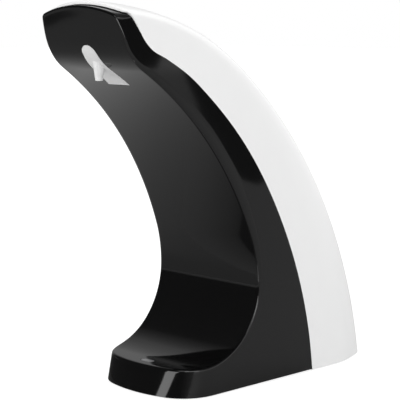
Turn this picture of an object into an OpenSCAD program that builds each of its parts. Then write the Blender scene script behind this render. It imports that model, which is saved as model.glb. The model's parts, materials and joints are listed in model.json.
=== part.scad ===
// Automatic soap dispenser: an arched body with a black front shell, a white rear shell,
// a soap tank, a battery-driven gear pump and a nozzle over a small tray.
// Millimetres, +Z up, the user stands on the -Y side, X runs across the body.

/* [Body] */
// Half the body's width at the origin
half_w = 42.2; // [40:0.1:46]
// Flare of each side towards the rear, in degrees
side_flare = 4.5; // [3:0.1:6]
// Lean of each side with height, in degrees
side_draft = 0.6; // [0.2:0.1:1]
// Wall of the two shells
wall = 2.4; // [2:0.1:2.8]
// Gap along the seam between the shells
seam_gap = 0.15; // [0.1:0.05:0.3]
// Height of the front shell's lower edge
front_bottom = 0.4; // [0.2:0.1:1]
// Height of the rear shell's lower edge
rear_bottom = 0.6; // [0.4:0.1:1]

/* [Hand space] */
// Height of the tray
tray_z = 16.4; // [15:0.1:18]
// Deepest point of the hollow, from the origin
deep_y = -4.7; // [-6:0.1:-3]
// Radius from the tray up to the deepest point
low_r = 45; // [43:0.5:47]
// Radius just above the deepest point
mid_r = 73.5; // [70:0.5:78]
// Radius along the arm
arm_r = 198.5; // [190:0.5:206]
// Radius under the head
head_r = 31.5; // [29:0.5:34]
// Step of the head's black cap below the white crown
cap_step = 2.2; // [1:0.1:3]

/* [Back] */
// Centre of the upper back arc, along Y
back_y = -106; // [-108:0.5:-104]
// Height of the crown above the head's centre
crown_rise = 10.664; // [9:0.1:12]
// Radius of the upper back arc
back_r = 162; // [160:0.5:165]
// Radius of the lower back arc
rear_r = 295; // [290:0.5:300]
// Radius of the crown across the back
crown_r = 103; // [100:0.5:108]
// Radius of the long edges between crown and sides
edge_r = 19.5; // [18:0.5:21]

/* [Base] */
// Front of the base at the bottom
nose_y = -67; // [-69:0.5:-65]
// Radius of the base's front
nose_r = 81.8; // [80:0.2:84]
// Radius of the base's front corners
corner_r = 15.6; // [15:0.2:17]
// Lean of the base's front face, in degrees
nose_lean = 12.5; // [8:0.5:16]
// Height of the base plate over the counter
plate_z = 1.6; // [1.4:0.1:2]
// Thickness of the base plate
plate_t = 3; // [2.5:0.1:3.5]
// Gap between the base plate and the shells
plate_gap = 0.2; // [0.1:0.05:0.4]
// Radius of a foot
foot_r = 5; // [4:0.5:6]
// Depth of a foot's pocket in the base plate
foot_sunk = 0.8; // [0.5:0.1:1.2]

/* [Fill lid] */
// Place of the lid on the lower back arc, in degrees
lid_angle = 45.8; // [45:0.1:47]
// Width of the lid
lid_w = 32; // [30:0.5:34]
// Length of the lid in front of its middle
lid_front = 18; // [16:0.5:20]
// Distance of the hinge behind the lid's middle
hinge_back = 16.5; // [15.5:0.5:18]
// Thickness of the lid
lid_t = 2.2; // [1.8:0.1:2.6]
// Gap round the lid
lid_gap = 0.4; // [0.3:0.05:0.6]
// Radius of the hinge barrel
barrel_r = 2.8; // [2.4:0.1:3.2]
// Radius of the hinge pin
hinge_pin_r = 1; // [0.8:0.1:1.2]
// Gap behind the turning edge of the lid
hinge_gap = 1.1; // [0.9:0.1:1.4]

/* [Tank] */
// Gap between the tank and the rear shell
tank_gap = 0.4; // [0.3:0.05:0.8]
// Wall of the tank
tank_wall = 1.8; // [1.5:0.1:2.2]
// Front of the tank
tank_y = 8; // [7:0.5:10]
// Bottom of the tank
tank_z = 46; // [45:0.5:50]
// Depth of the tank's sloping top below the back
tank_drop = 12; // [11:0.5:14]
// Inner radius of the fill neck
neck_r = 9; // [8:0.5:10]

/* [Pump] */
// Module of the pump gears
gear_m = 1.25; // [1.2:0.01:1.3]
// Teeth on each pump gear
gear_n = 10; // [10:1:12]
// Pressure angle of the pump gears, in degrees
gear_pa = 28; // [26:0.5:30]
// Width of the pump gears
gear_w = 6; // [5:0.5:7]
// Distance of the pump's axes behind the origin
pump_y = 20; // [19:0.5:22]
// Height of the drive axis
drive_z = 18; // [17.5:0.5:19]
// Radius of the drive shaft
shaft_r = 1; // [0.8:0.1:1.2]
// Radius of the idler pin
idler_pin_r = 1.5; // [1.2:0.1:1.8]
// Running clearance of shafts and pins
run_gap = 0.05; // [0.03:0.01:0.08]
// Outer radius of the soap tubes
tube_r = 3; // [2.8:0.1:3.2]
// Inner radius of the soap tubes
tube_bore = 2.2; // [2:0.1:2.3]

/* [Nozzle] */
// Place of the spout in front of the head's centre
spout_front = 19.4; // [18.5:0.1:20]
// Depth of the spout's tip below the head's centre
spout_drop = 32.3; // [31:0.1:33]
// Radius of the spout's tip
spout_r = 2; // [1.8:0.1:2.4]
// Half width of the insert at its front
insert_front = 5.5; // [5:0.1:6.5]
// Half width of the insert at its rear
insert_rear = 8.3; // [7.5:0.1:9]
// Gap round the insert
insert_gap = 0.3; // [0.2:0.05:0.4]

/* [Buttons and sensor] */
// Place of the buttons on the upper back arc, in degrees
button_angle = 72.7; // [71:0.1:74]
// Distance of each button from the middle of the pair
button_step = 8; // [7.5:0.1:9]
// Radius of a button
button_r = 4.5; // [4:0.1:4.8]
// Gap round a button
button_gap = 0.3; // [0.25:0.05:0.4]
// Travel of a button
button_travel = 0.8; // [0.5:0.1:1]
// Place of the sensor lens on the tray
lens_y = -55.6; // [-57:0.1:-54.5]
// Length of the sensor lens
lens_l = 9; // [7:0.5:11]
// Width of the sensor lens
lens_w = 4.4; // [3.6:0.2:5]

/* [Battery] */
// Radius of a battery
cell_r = 5.25; // [5:0.05:5.5]
// Length of a battery
cell_l = 44.5; // [43:0.5:46]
// Number of batteries
cell_n = 4; // [2:1:4]
// Distance between batteries
cell_pitch = 11; // [11:0.1:11.5]
// Front of the battery box
box_y = 34.4; // [34:0.2:36]

/* [Hidden] */
$fn = 96;
fine = 288;
far = 400;
touch = 0.01;
lap = 20;
join_turn = 0.5;
join_in = 0.03;

// Directions in the Y-Z plane where arcs and faces meet
dir_mid_arm = [0.936, 0.352];
dir_arm_head = [0.5376, 0.8432];
dir_face = [0.96, 0.28];
dir_back = [0.6, 0.8];
dir_edge = [0.96, 0.28];
dir_nose = [0.352, 0.936];
back_turn = atan2(dir_back.y, dir_back.x);
upper_turn = 47;
lower_turn = 68;

// Centres of the arcs, as [y, z]
low_c = [deep_y - low_r, tray_z + low_r];
mid_c = [deep_y - mid_r, low_c.y];
arm_c = mid_c + (mid_r - arm_r)*dir_mid_arm;
head_c = arm_c + (arm_r + head_r)*dir_arm_head;
crown_z = head_c.y + crown_rise;
back_c = [back_y, crown_z - back_r];
rear_c = back_c + (back_r - rear_r)*dir_back;
top_z = crown_z + 10;
rear_depth = rear_r*0.62;

// Seam between the shells: one long arc, and the slanting rim of the head
seam_c = [-218.1, -21.6];
seam_r = 259;
rim_foot = head_c + [-18.148, -8.036];
rim_lean = 35.4;

// Base plate
plate_top = plate_z + plate_t;
nose_block_z = 45;
foot_in = 13.5;
back_foot = rear_c.x + sqrt(rear_r*rear_r - rear_c.y*rear_c.y);
feet_at = [[24, -44], [22, back_foot - foot_in]];
boss_r = 3.6;
boss_top = 24;
front_boss_at = [14, -50];
rear_boss_at = [37.5, 62];
screw_r = 1.2;
screw_head_r = 2.4;
screw_head_t = 1.4;
screw_l = 8;
thread_gap = 0.02;

// Lid, in a frame whose Z axis leaves the back at lid_angle
lid_corner = 4;
ear_t = 4;
ear_r = 2.6;
ear_skin = 0.6;
ear_x = lid_w/2 + lid_gap + ear_t;
hinge_depth = hinge_pin_r + ear_skin + crown_r - sqrt(crown_r*crown_r - ear_x*ear_x);
hinge_z = sqrt(rear_r*rear_r - hinge_back*hinge_back) - hinge_depth;
seal_drop = 5.5;
seal_gap = 0.3;
seat_gap = 0.05;
neck_wall = 2.4;
seal_lap = 0.6;
thumb_r = 16;
thumb_depth = 1.3;

// Tank outlet
outlet_y = 47;
outlet_drop = 8;

// Gears
gear_rp = gear_m*gear_n/2;
gear_rb = gear_rp*cos(gear_pa);
gear_ra = gear_rp + 0.9*gear_m;
gear_root_gap = 0.3;
gear_rr = 2*gear_rp - gear_ra - gear_root_gap;
gear_thin = 0.12;
flank_steps = 6;
idler_z = drive_z + 2*gear_rp;
port_z = drive_z + gear_rp;

// Pump block, along X from the motor side to the cover
chamber_gap = 0.3;
side_gap = 0.2;
chamber_r = gear_ra + chamber_gap;
chamber_h = gear_w/2 + side_gap;
block_back = 3;
block_front = 3;
gasket_t = 0.6;
block_w = 23;
block_edge = 3.8;
block_corner = 2.5;
block_h = 2*(gear_rp + chamber_r + block_edge);
block_x = -chamber_h - block_back;
cover_x = chamber_h + gasket_t;
pump_screw_in = 2.3;
pump_screw_r = 0.9;
barb_r = 1.9;
barb_bore = 1.2;
barb_l = 6;
bend_r = 9;
shaft_seal_r = 3;
shaft_seal_t = 2;
bracket_t = 3;
bracket_x = block_x - bracket_t;
foot_t = 2.4;
foot_l = 22;

// Motor
motor_r = 10;
motor_flat = 7.7;
motor_l = 20;
motor_cap_l = 4;
motor_boss_r = 3;
motor_boss_l = 1.6;
shaft_end = 3;

// Outlet tube: three arcs beside the hollow, and a bend to the pump
tube_in = wall + 4.6;
dir_dip = [0.8432, 0.5376];
path_low = low_r + tube_in;
path_mid = mid_r + tube_in;
path_arm = arm_r + tube_in;
drop_r = round(8*(low_c.y - port_z - dir_dip.y*path_low)/(1 + dir_dip.y))/8;
drop_c = low_c + (path_low + drop_r)*[dir_dip.x, -dir_dip.y];
tube_turn = back_turn;
tube_tip = arm_c + path_arm*[cos(tube_turn), sin(tube_turn)];
tube_dir = [-sin(tube_turn), cos(tube_turn)];
spout_y = head_c.x - spout_front;
spout_z = head_c.y - spout_drop;
elbow_run = (spout_y - tube_tip.x)/tube_dir.x;
elbow_z = tube_tip.y + elbow_run*tube_dir.y;
elbow_r = 2.9;
spout_root_r = 3.6;
elbow_foot = spout_z + 10.5;
barb_shoulder = 0.3;

// Nozzle insert, cut out along a direction between the face and the underside
insert_turn = 128;
insert_at = [spout_y, spout_z + 8];
insert_top = 14.5;
insert_back = 17.5;
insert_flange = 2;
flange_t = 1.5;
flange_gap = 0.1;
valve_r = 2.4;
valve_z = spout_z + 7;
valve_slit = 0.5;
drop_bore = 1.2;

// Buttons, in a frame whose Z axis leaves the back at button_angle
flange_r = 6;
flange_top = back_r - wall - 1.3;
button_flange_t = 1.8;
stem_r = 2;
stem_l = 4;
press_spare = 0.3;
switch_w = 6;
switch_h = 3.4;
switch_top = flange_top - button_flange_t - stem_l - button_travel - press_spare;
board_t = 1.6;
button_board_z = switch_top - switch_h;
button_board_w = 24;
button_board_l = 34;
post_x = 9;
post_r = 2;
post_skin = 1;

// Sensor
sensor_board_z = 8;
sensor_board_w = 17;
sensor_board_l = 9;
sensor_post_r = 1.6;
diode_r = 1.5;
diode_x = 2.3;
diode_gap = 0.3;

// Battery box and control board
box_wall = 1.6;
box_roof = 1.6;
contact_room = 4.2;
box_w = cell_l + 2*contact_room + 2*box_wall;
box_l = cell_n*cell_pitch + 2*box_wall + 1;
box_top = plate_top + 2*cell_r + 2.6;
cell_z = plate_top + cell_r + 0.5;
contact_t = 0.5;
contact_w = 8;
contact_h = 9;
contact_bump = 3.6;
door_t = 2;
door_gap = 0.3;
door_lip = 2;
door_gasket_t = 0.8;
door_screw_y = 5.5;
board_post_r = 2.4;
board_z = box_top + 6;
board_y = 52;
board_l = 30;
board_w = 50;
board_screw_in = 3.4;
chip_at = [[-10, 12, 10, 10, 1.6], [12, 10, 6, 8, 1.4], [-11, 24, 12, 5, 6], [10, 23, 12, 5, 6]];

// Turns a flat Y-Z drawing into a solid along X
module along_x(length) {
    rotate([90, 0, 90])
        linear_extrude(height = length, center = true)
            children();
}

// A cylinder along X at [y, z], from x0 to x1
module rod_x(at, r, x0, x1) {
    translate([x0, at.x, at.y])
        rotate([0, 90, 0])
            cylinder(r = r, h = x1 - x0);
}

// The same piece on both sides of the middle plane
module both_sides() {
    children();
    mirror([1, 0, 0])
        children();
}

// Frame whose Z axis leaves an arc's centre at an angle, with Y pointing down the back
module at_arc(centre, angle) {
    translate([0, centre.x, centre.y])
        rotate([angle - 90, 0, 0])
            children();
}

// Open wedge between two directions
module wedge(from, dir_a, dir_b) {
    polygon([from, from + far*dir_a, from + far*(dir_a + dir_b), from + far*dir_b]);
}

module rounded_rect(w, l, r) {
    square([w - 2*r, l], center = true);
    square([w, l - 2*r], center = true);
    for (x = [-1, 1], y = [-1, 1])
        translate([x*(w/2 - r), y*(l/2 - r)])
            circle(r);
}

// Side view of the body from height z0 up: all but the hollow and what lies before the head
module side_view(inset, z0) {
    face_foot = head_c - (head_r - inset)*dir_face;
    face_up = [-dir_face.y, dir_face.x];
    difference() {
        translate([-far/2, z0])
            square([far, top_z - z0]);
        translate([-far, tray_z - inset])
            square([far + low_c.x, low_r + inset + lap]);
        intersection() {
            translate(low_c)
                circle(low_r + inset);
            translate([low_c.x - lap, low_c.y - far])
                square([far, far + lap]);
        }
        intersection() {
            translate(mid_c)
                circle(mid_r + inset);
            wedge(mid_c, [1, 0], dir_back);
        }
        intersection() {
            translate(arm_c)
                circle(arm_r + inset);
            wedge(arm_c, dir_mid_arm, [0, 1]);
        }
        difference() {
            wedge(head_c, -dir_arm_head, -dir_face);
            translate(head_c)
                circle(head_r - inset);
        }
        polygon([face_foot - lap*face_up, face_foot + far*face_up,
                 face_foot + far*(face_up - dir_face), face_foot - lap*face_up - far*dir_face]);
    }
}

// Section of the back, as [radius, x]: a wide crown, round edges and flaring sides
module back_section(r, depth, inset) {
    crown_c = [r - crown_r, 0];
    edge_c = [for (s = [-1, 1]) crown_c + (crown_r - edge_r)*[dir_edge.x, s*dir_edge.y]];
    low = [for (s = [-1, 1]) edge_c[(s + 1)/2] + (edge_r - inset)*[dir_edge.y, s*dir_edge.x]];
    run = [for (s = [-1, 1]) [dir_edge.x, -s*dir_edge.y]];
    difference() {
        intersection() {
            translate(crown_c)
                circle(crown_r - inset);
            polygon([low[0] - depth*run[0], low[0] + crown_r*run[0],
                     low[1] + crown_r*run[1], low[1] - depth*run[1]]);
        }
        for (s = [-1, 1])
            difference() {
                wedge(edge_c[(s + 1)/2], [dir_edge.x, s*dir_edge.y], [dir_edge.y, s*dir_edge.x]);
                translate(edge_c[(s + 1)/2])
                    circle(edge_r - inset);
            }
    }
}

// A stretch of the back, turned about an X axis through its centre, from where its two arcs meet
module back_stretch(centre, r, depth, from, turn, inset) {
    translate([0, centre.x, centre.y])
        rotate([90, 0, 90])
            rotate([0, 0, back_turn])
                rotate_extrude(start = from, angle = turn, $fn = fine)
                    back_section(r, depth, inset, $fn = fine);
}

module upper_back(inset) back_stretch(back_c, back_r, back_r/2, 0, upper_turn, inset);
module lower_back(inset) back_stretch(rear_c, rear_r, rear_depth, -lower_turn, lower_turn, inset);

// A core that ties the two stretches of the back together, just below their skin
module back_join(inset) back_stretch(rear_c, rear_r, rear_depth, -join_turn, 2*join_turn, inset);

// All that lies outside the two sides
module beyond_sides(inset) {
    both_sides()
        translate([half_w - inset, 0, 0])
            rotate([0, -side_draft, 0])
                rotate([0, 0, -side_flare])
                    translate([0, -far/2, -far/4])
                        cube(far);
}

// All that lies before the base's round, leaning front
module beyond_nose(inset) {
    reach = nose_r - corner_r;
    corner = reach*[dir_nose.x, -dir_nose.y];
    difference() {
        translate([-far/2, nose_y - far, -far/2])
            cube([far, far + nose_r + corner.y, far/2 + nose_block_z]);
        translate([0, nose_y, 0])
            rotate([-nose_lean, 0, 0])
                translate([0, nose_r, -nose_block_z])
                    linear_extrude(height = 3*nose_block_z) {
                        intersection() {
                            circle(nose_r - inset);
                            polygon([[0, 0], far*[dir_nose.x, -dir_nose.y], far*[-dir_nose.x, -dir_nose.y]]);
                        }
                        for (s = [-1, 1])
                            translate([s*corner.x, corner.y])
                                circle(corner_r - inset);
                        polygon([[0, 0], corner, [far, corner.y], [far, far],
                                 [-far, far], [-far, corner.y], [-corner.x, corner.y]]);
                    }
    }
}

// The whole body from height z0 up, all its outer faces moved in by inset
module body_form(inset, z0) {
    difference() {
        intersection() {
            along_x(far)
                side_view(inset, z0);
            union() {
                upper_back(inset);
                lower_back(inset);
                back_join(inset + join_in);
            }
        }
        beyond_sides(inset);
        beyond_nose(inset);
    }
}

module skin(z0) {
    difference() {
        body_form(0, z0);
        body_form(wall, z0 - wall);
    }
}

// The part of space that belongs to the front shell
module front_of_seam(grow) {
    rim_up = [-sin(rim_lean), cos(rim_lean)];
    rim = rim_foot + grow*[cos(rim_lean), sin(rim_lean)];
    along_x(far) {
        translate(seam_c)
            circle(seam_r + grow);
        polygon([rim - far/10*rim_up, rim + far/4*rim_up, [-far/2, top_z + far/4], [-far/2, 0]]);
    }
}

module stadium(l, w) {
    square([l - w, w], center = true);
    for (s = [-1, 1])
        translate([s*(l - w)/2, 0])
            circle(w/2);
}

// Prism that cuts the nozzle's insert out of the head, seen from below the front
module insert_prism(grow) {
    translate([0, insert_at.x, insert_at.y])
        rotate([insert_turn, 0, 0])
            translate([0, 0, -far/20])
                linear_extrude(height = far/10) {
                    polygon([[-insert_front - grow, insert_top - insert_front],
                             [insert_front + grow, insert_top - insert_front],
                             [insert_rear + grow, -insert_back - grow],
                             [-insert_rear - grow, -insert_back - grow]]);
                    translate([0, insert_top - insert_front])
                        circle(insert_front + grow);
                }
}

module boss(at, z1) {
    translate([at.x, at.y, plate_top])
        difference() {
            cylinder(r = boss_r, h = z1 - plate_top);
            translate([0, 0, -touch])
                cylinder(r = screw_r + thread_gap, h = screw_l);
        }
}

// What lies above a step of the given depth below the crown, over the head's cap
module over_cap(depth) {
    difference() {
        translate([-far/2, -far, rim_foot.y])
            cube([far, far, far]);
        upper_back(depth);
    }
}

module front_shell() {
    color("#101012") {
        difference() {
            intersection() {
                body_form(0, front_bottom);
                front_of_seam(0);
            }
            over_cap(cap_step);
            difference() {
                body_form(wall, front_bottom - wall);
                over_cap(wall + cap_step);
            }
            insert_prism(insert_gap);
            translate([0, lens_y, tray_z - 2*wall])
                linear_extrude(height = 4*wall)
                    stadium(lens_l + 2*insert_gap, lens_w + 2*insert_gap);
        }
        both_sides()
            boss(front_boss_at, tray_z - wall/2);
    }
}

module rear_shell() {
    color("#f4f4f2") {
        difference() {
            union() {
                difference() {
                    skin(rear_bottom);
                    front_of_seam(seam_gap);
                }
                both_sides()
                    hinge_ear();
            }
            lid_prism(lid_w + 2*lid_gap, lid_front + lid_gap, hinge_back + hinge_depth + hinge_gap,
                      lid_corner + lid_gap);
            at_arc(rear_c, lid_angle)
                translate([0, -lid_front, rear_r + thumb_r - thumb_depth])
                    sphere(thumb_r);
            at_arc(back_c, button_angle)
                for (s = [-1, 1])
                    translate([0, s*button_step, back_r - 2*wall])
                        cylinder(r = button_r + button_gap, h = 4*wall);
            hinge_axis(hinge_pin_r + thread_gap, ear_x + touch);
        }
        both_sides()
            rear_boss();
        both_sides()
            tank_shelf();
        intersection() {
            at_arc(back_c, button_angle)
                for (s = [-1, 1])
                    translate([s*post_x, 0, button_board_z])
                        difference() {
                            cylinder(r = post_r, h = far/10);
                            translate([0, 0, -touch])
                                cylinder(r = pump_screw_r + thread_gap, h = screw_l/2);
                        }
            upper_back(post_skin);
        }
    }
}

// Screw boss of the rear shell, held to the side wall by a rib
module rear_boss() {
    boss(rear_boss_at, boss_top);
    difference() {
        intersection() {
            translate([rear_boss_at.x, rear_boss_at.y - wall/2, plate_top])
                cube([half_w, wall, boss_top - plate_top]);
            body_form(wall/2, 0);
        }
        translate([rear_boss_at.x, rear_boss_at.y, 0])
            cylinder(r = boss_r - touch, h = far/4);
    }
}

// Ledge in the rear shell that carries the tank
module tank_shelf() {
    shelf_l = 24;
    shelf_w = 8;
    shelf_t = 2.4;
    intersection() {
        translate([half_w - shelf_w, rear_boss_at.y - shelf_l/2, tank_z - shelf_t])
            cube([half_w, shelf_l, shelf_t]);
        body_form(wall/2, 0);
    }
}

module hinge_axis(r, reach) {
    at_arc(rear_c, lid_angle)
        rod_x([hinge_back, hinge_z], r, -reach, reach);
}

module hinge_ear() {
    intersection() {
        at_arc(rear_c, lid_angle) {
            rod_x([hinge_back, hinge_z], ear_r, ear_x - ear_t, ear_x);
            translate([ear_x - ear_t, hinge_back - ear_r, hinge_z])
                cube([ear_t, 2*ear_r, 2*ear_r]);
        }
        lower_back(ear_skin);
    }
}

// Prism along the back's normal with the lid's outline
module lid_prism(w, front, back, r) {
    at_arc(rear_c, lid_angle)
        translate([0, (back - front)/2, rear_r - 2*barrel_r])
            linear_extrude(height = 4*barrel_r)
                rounded_rect(w, front + back, r);
}

module base_plate() {
    door_w = box_w - 2*box_wall;
    door_l = box_l - 2*box_wall;
    door_mid = box_y + box_l/2;
    color("#3a3b3e")
        difference() {
            intersection() {
                body_form(wall + plate_gap, plate_z);
                translate([-far/2, -far/2, plate_z])
                    cube([far, far, plate_t]);
            }
            both_sides()
                for (p = feet_at)
                    translate([p.x, p.y, plate_z - touch])
                        cylinder(r = foot_r + plate_gap, h = foot_sunk + touch);
            both_sides()
                for (p = [front_boss_at, rear_boss_at])
                    screw_hole(p);
            for (p = bracket_screw_at())
                translate([p.x, p.y, plate_top])
                    cylinder(r = screw_r + thread_gap, h = 4*plate_t, center = true);
            translate([-door_w/2, door_mid - door_l/2, 0])
                cube([door_w, door_l, far/10]);
            translate([-door_w/2 - door_lip, door_mid - door_l/2 - door_lip, 0])
                cube([door_w + 2*door_lip, door_l + 2*door_lip, plate_z + door_t + door_gasket_t]);
            translate([0, box_y + box_l + door_screw_y, plate_z - touch])
                cylinder(r = boss_r + door_gap, h = door_t + door_gasket_t + touch);
            translate([-boss_r - door_gap, box_y + box_l - box_wall, plate_z - touch])
                cube([2*(boss_r + door_gap), door_screw_y + box_wall, door_t + door_gasket_t + touch]);
            translate([0, box_y + box_l + door_screw_y, 0])
                cylinder(r = screw_r + thread_gap, h = far/10);
        }
    color("#3a3b3e")
        both_sides()
            translate([sensor_board_w/2 - 2*sensor_post_r, lens_y + sensor_board_l/2, plate_top])
                cylinder(r = sensor_post_r, h = sensor_board_z - plate_top);
}

// Clearance hole and head recess for a screw that comes up through the base plate
module screw_hole(at) {
    translate([at.x, at.y, plate_z - touch])
        cylinder(r = screw_head_r + plate_gap, h = screw_head_t + touch);
    translate([at.x, at.y, 0])
        cylinder(r = screw_r + plate_gap, h = far/10);
}

module feet() {
    color("#2b2b2d")
        both_sides()
            for (p = feet_at)
                translate([p.x, p.y, 0])
                    cylinder(r = foot_r, h = plate_z + foot_sunk);
}

// A screw with its head at height z, pointing up
module screw(at, z, r, head_r, length) {
    translate([at.x, at.y, z]) {
        cylinder(r = head_r, h = screw_head_t);
        cylinder(r = r, h = screw_head_t + length);
    }
}

module shell_screws() {
    color("#b8babd")
        both_sides()
            for (p = [front_boss_at, rear_boss_at])
                screw(p, plate_z, screw_r, screw_head_r, screw_l);
}

module nozzle() {
    under = spout_z - lap;
    color("#dcdcda")
        difference() {
            union() {
                intersection() {
                    difference() {
                        body_form(0, under);
                        body_form(wall + flange_gap + flange_t, under - wall);
                    }
                    insert_prism(0);
                }
                intersection() {
                    difference() {
                        body_form(wall + flange_gap, under);
                        body_form(wall + flange_gap + flange_t, under - wall);
                    }
                    insert_prism(insert_flange);
                }
                translate([0, spout_y, spout_z])
                    cylinder(r1 = spout_r, r2 = spout_root_r, h = elbow_foot - spout_z);
            }
            translate([0, spout_y, 0])
                cylinder(r = drop_bore, h = far);
            translate([0, spout_y, valve_z])
                cylinder(r = valve_r, h = far/10);
            translate([0, spout_y, elbow_foot])
                cylinder(r = elbow_r + plate_gap, h = far/10);
        }
}

module nozzle_valve() {
    color("#e9e4d8")
        translate([0, spout_y, valve_z])
            difference() {
                cylinder(r = valve_r - thread_gap, h = elbow_foot - valve_z - seat_gap);
                translate([0, 0, -touch])
                    cylinder(r = valve_slit, h = far/10);
            }
}

module nozzle_elbow() {
    lean = tube_turn;
    color("#d0d2d4")
        translate([0, spout_y, elbow_z])
            difference() {
                union() {
                    translate([0, 0, elbow_foot - elbow_z])
                        cylinder(r = elbow_r, h = elbow_z - elbow_foot);
                    sphere(elbow_r);
                    rotate([180 + lean, 0, 0])
                        cylinder(r = elbow_r, h = elbow_run - barb_shoulder);
                    rotate([180 + lean, 0, 0])
                        cylinder(r = barb_r, h = elbow_run + barb_l);
                }
                translate([0, 0, elbow_foot - elbow_z - touch])
                    cylinder(r = barb_bore, h = elbow_z - elbow_foot + touch);
                rotate([180 + lean, 0, 0])
                    cylinder(r = barb_bore, h = elbow_run + 2*barb_l);
            }
}

module ring_2d() {
    difference() {
        circle(tube_r);
        circle(tube_bore);
    }
}

// A bend of tube about an X axis through [y, z]
module tube_bend(centre, r, from, to) {
    translate([0, centre.x, centre.y])
        rotate([90, 0, 90])
            rotate_extrude(start = from, angle = to - from)
                translate([r, 0])
                    ring_2d();
}

// A stretch of the outlet tube about an X axis, between two directions from its centre
module tube_stretch(centre, r, dir_a, dir_b) {
    intersection() {
        tube_bend(centre, r, atan2(dir_a.y, dir_a.x) - lap, atan2(dir_b.y, dir_b.x) + lap);
        along_x(far)
            wedge(centre, dir_a, dir_b);
    }
}

module outlet_tube() {
    color("#e6e8e6") {
        translate([0, drop_c.x, drop_c.y - drop_r])
            rotate([-90, 0, 0])
                linear_extrude(height = pump_y - block_w/2 - barb_shoulder - drop_c.x)
                    ring_2d();
        intersection() {
            tube_bend(drop_c, drop_r, 90, 270);
            along_x(far)
                wedge(drop_c, [-dir_dip.x, dir_dip.y], [0, -1]);
        }
        tube_stretch(low_c, path_low, [dir_dip.x, -dir_dip.y], [1, 0]);
        tube_stretch(mid_c, path_mid, [1, 0], dir_mid_arm);
        tube_stretch(arm_c, path_arm, dir_mid_arm, dir_back);
    }
}

module inlet_tube() {
    start_y = pump_y + block_w/2 + barb_shoulder;
    color("#e6e8e6") {
        translate([0, start_y, port_z])
            rotate([-90, 0, 0])
                linear_extrude(height = outlet_y - bend_r - start_y)
                    ring_2d();
        tube_bend([outlet_y - bend_r, port_z + bend_r], bend_r, -90, 0);
        translate([0, outlet_y, port_z + bend_r])
            linear_extrude(height = tank_z - barb_shoulder - port_z - bend_r)
                ring_2d();
    }
}

// The tank's outside, or its inside when inset by the tank's wall
module tank_form(inset) {
    intersection() {
        body_form(wall + tank_gap + inset, tank_z + inset);
        translate([-far/2, tank_y + inset, 0])
            cube(far);
        at_arc(rear_c, lid_angle)
            translate([-far/2, -far/2, 0])
                cube([far, far, rear_r - tank_drop - inset]);
    }
}

module neck(r, z0) {
    at_arc(rear_c, lid_angle)
        translate([0, 0, z0])
            cylinder(r = r, h = rear_r - seal_drop - seal_gap - z0);
}

module reservoir() {
    color("#eef0ee")
        difference() {
            union() {
                tank_form(0);
                neck(neck_r + neck_wall, rear_r - tank_drop - tank_wall/2);
                translate([0, outlet_y, tank_z - outlet_drop])
                    cylinder(r = barb_r, h = outlet_drop + tank_wall);
            }
            tank_form(tank_wall);
            at_arc(rear_c, lid_angle)
                translate([0, 0, rear_r - tank_drop - 2*tank_wall])
                    cylinder(r = neck_r, h = far/10);
            translate([0, outlet_y, tank_z - 2*outlet_drop])
                cylinder(r = barb_bore, h = 3*outlet_drop);
        }
}

module fill_lid() {
    color("#f4f4f2")
        difference() {
            union() {
                intersection() {
                    difference() {
                        lower_back(0);
                        lower_back(lid_t);
                    }
                    lid_prism(lid_w, lid_front, hinge_back, lid_corner);
                }
                at_arc(rear_c, lid_angle)
                    rod_x([hinge_back, hinge_z], barrel_r, -lid_w/2 + lid_corner, lid_w/2 - lid_corner);
            }
            hinge_axis(hinge_pin_r + run_gap, lid_w);
        }
}

module lid_seal() {
    color("#c9cccd")
        intersection() {
            at_arc(rear_c, lid_angle)
                translate([0, 0, rear_r - seal_drop])
                    difference() {
                        cylinder(r = neck_r + neck_wall + seal_lap, h = far/10);
                        translate([0, 0, -touch])
                            cylinder(r = neck_r - seal_lap, h = far/10 + 2*touch);
                    }
            lower_back(lid_t + seat_gap);
        }
}

module lid_pin() {
    color("#c4c6c8")
        hinge_axis(hinge_pin_r, ear_x);
}

module button(side) {
    color("#d9dadb") {
        intersection() {
            at_arc(back_c, button_angle)
                translate([0, side*button_step, flange_top - button_flange_t])
                    cylinder(r = button_r, h = far/10);
            upper_back(0);
        }
        at_arc(back_c, button_angle)
            translate([0, side*button_step, flange_top - button_flange_t]) {
                cylinder(r = flange_r, h = button_flange_t);
                translate([0, 0, -stem_l])
                    cylinder(r = stem_r, h = stem_l + touch);
            }
    }
}

module power_button() button(-1);
module dose_button() button(1);

module button_board() {
    color("#2f6b45")
        at_arc(back_c, button_angle)
            translate([0, 0, button_board_z - board_t])
                difference() {
                    linear_extrude(height = board_t)
                        rounded_rect(button_board_w, button_board_l, 2);
                    for (s = [-1, 1])
                        translate([s*post_x, 0, -touch])
                            cylinder(r = pump_screw_r + plate_gap, h = 2*board_t);
                }
}

module button_switches() {
    color("#1d1d1f")
        at_arc(back_c, button_angle)
            for (s = [-1, 1])
                translate([0, s*button_step, button_board_z]) {
                    translate([0, 0, switch_h/2 - switch_h/6])
                        cube([switch_w, switch_w, 2*switch_h/3], center = true);
                    cylinder(r = stem_r*0.8, h = switch_h);
                }
}

module button_screws() {
    color("#b8babd")
        at_arc(back_c, button_angle)
            for (s = [-1, 1])
                screw([s*post_x, 0], button_board_z - board_t - screw_head_t, pump_screw_r,
                      screw_head_r, screw_l/2);
}

module sensor_lens() {
    color("#cfd3d6")
        translate([0, lens_y, tray_z - wall]) {
            linear_extrude(height = wall)
                stadium(lens_l, lens_w);
            translate([0, 0, -flange_t])
                linear_extrude(height = flange_t - flange_gap)
                    stadium(lens_l + insert_flange, lens_w + insert_flange);
            translate([0, 0, -flange_t])
                linear_extrude(height = flange_t + touch)
                    stadium(lens_l, lens_w);
        }
}

module sensor_board() {
    color("#2f6b45")
        translate([-sensor_board_w/2, lens_y, sensor_board_z])
            cube([sensor_board_w, sensor_board_l, board_t]);
}

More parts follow.
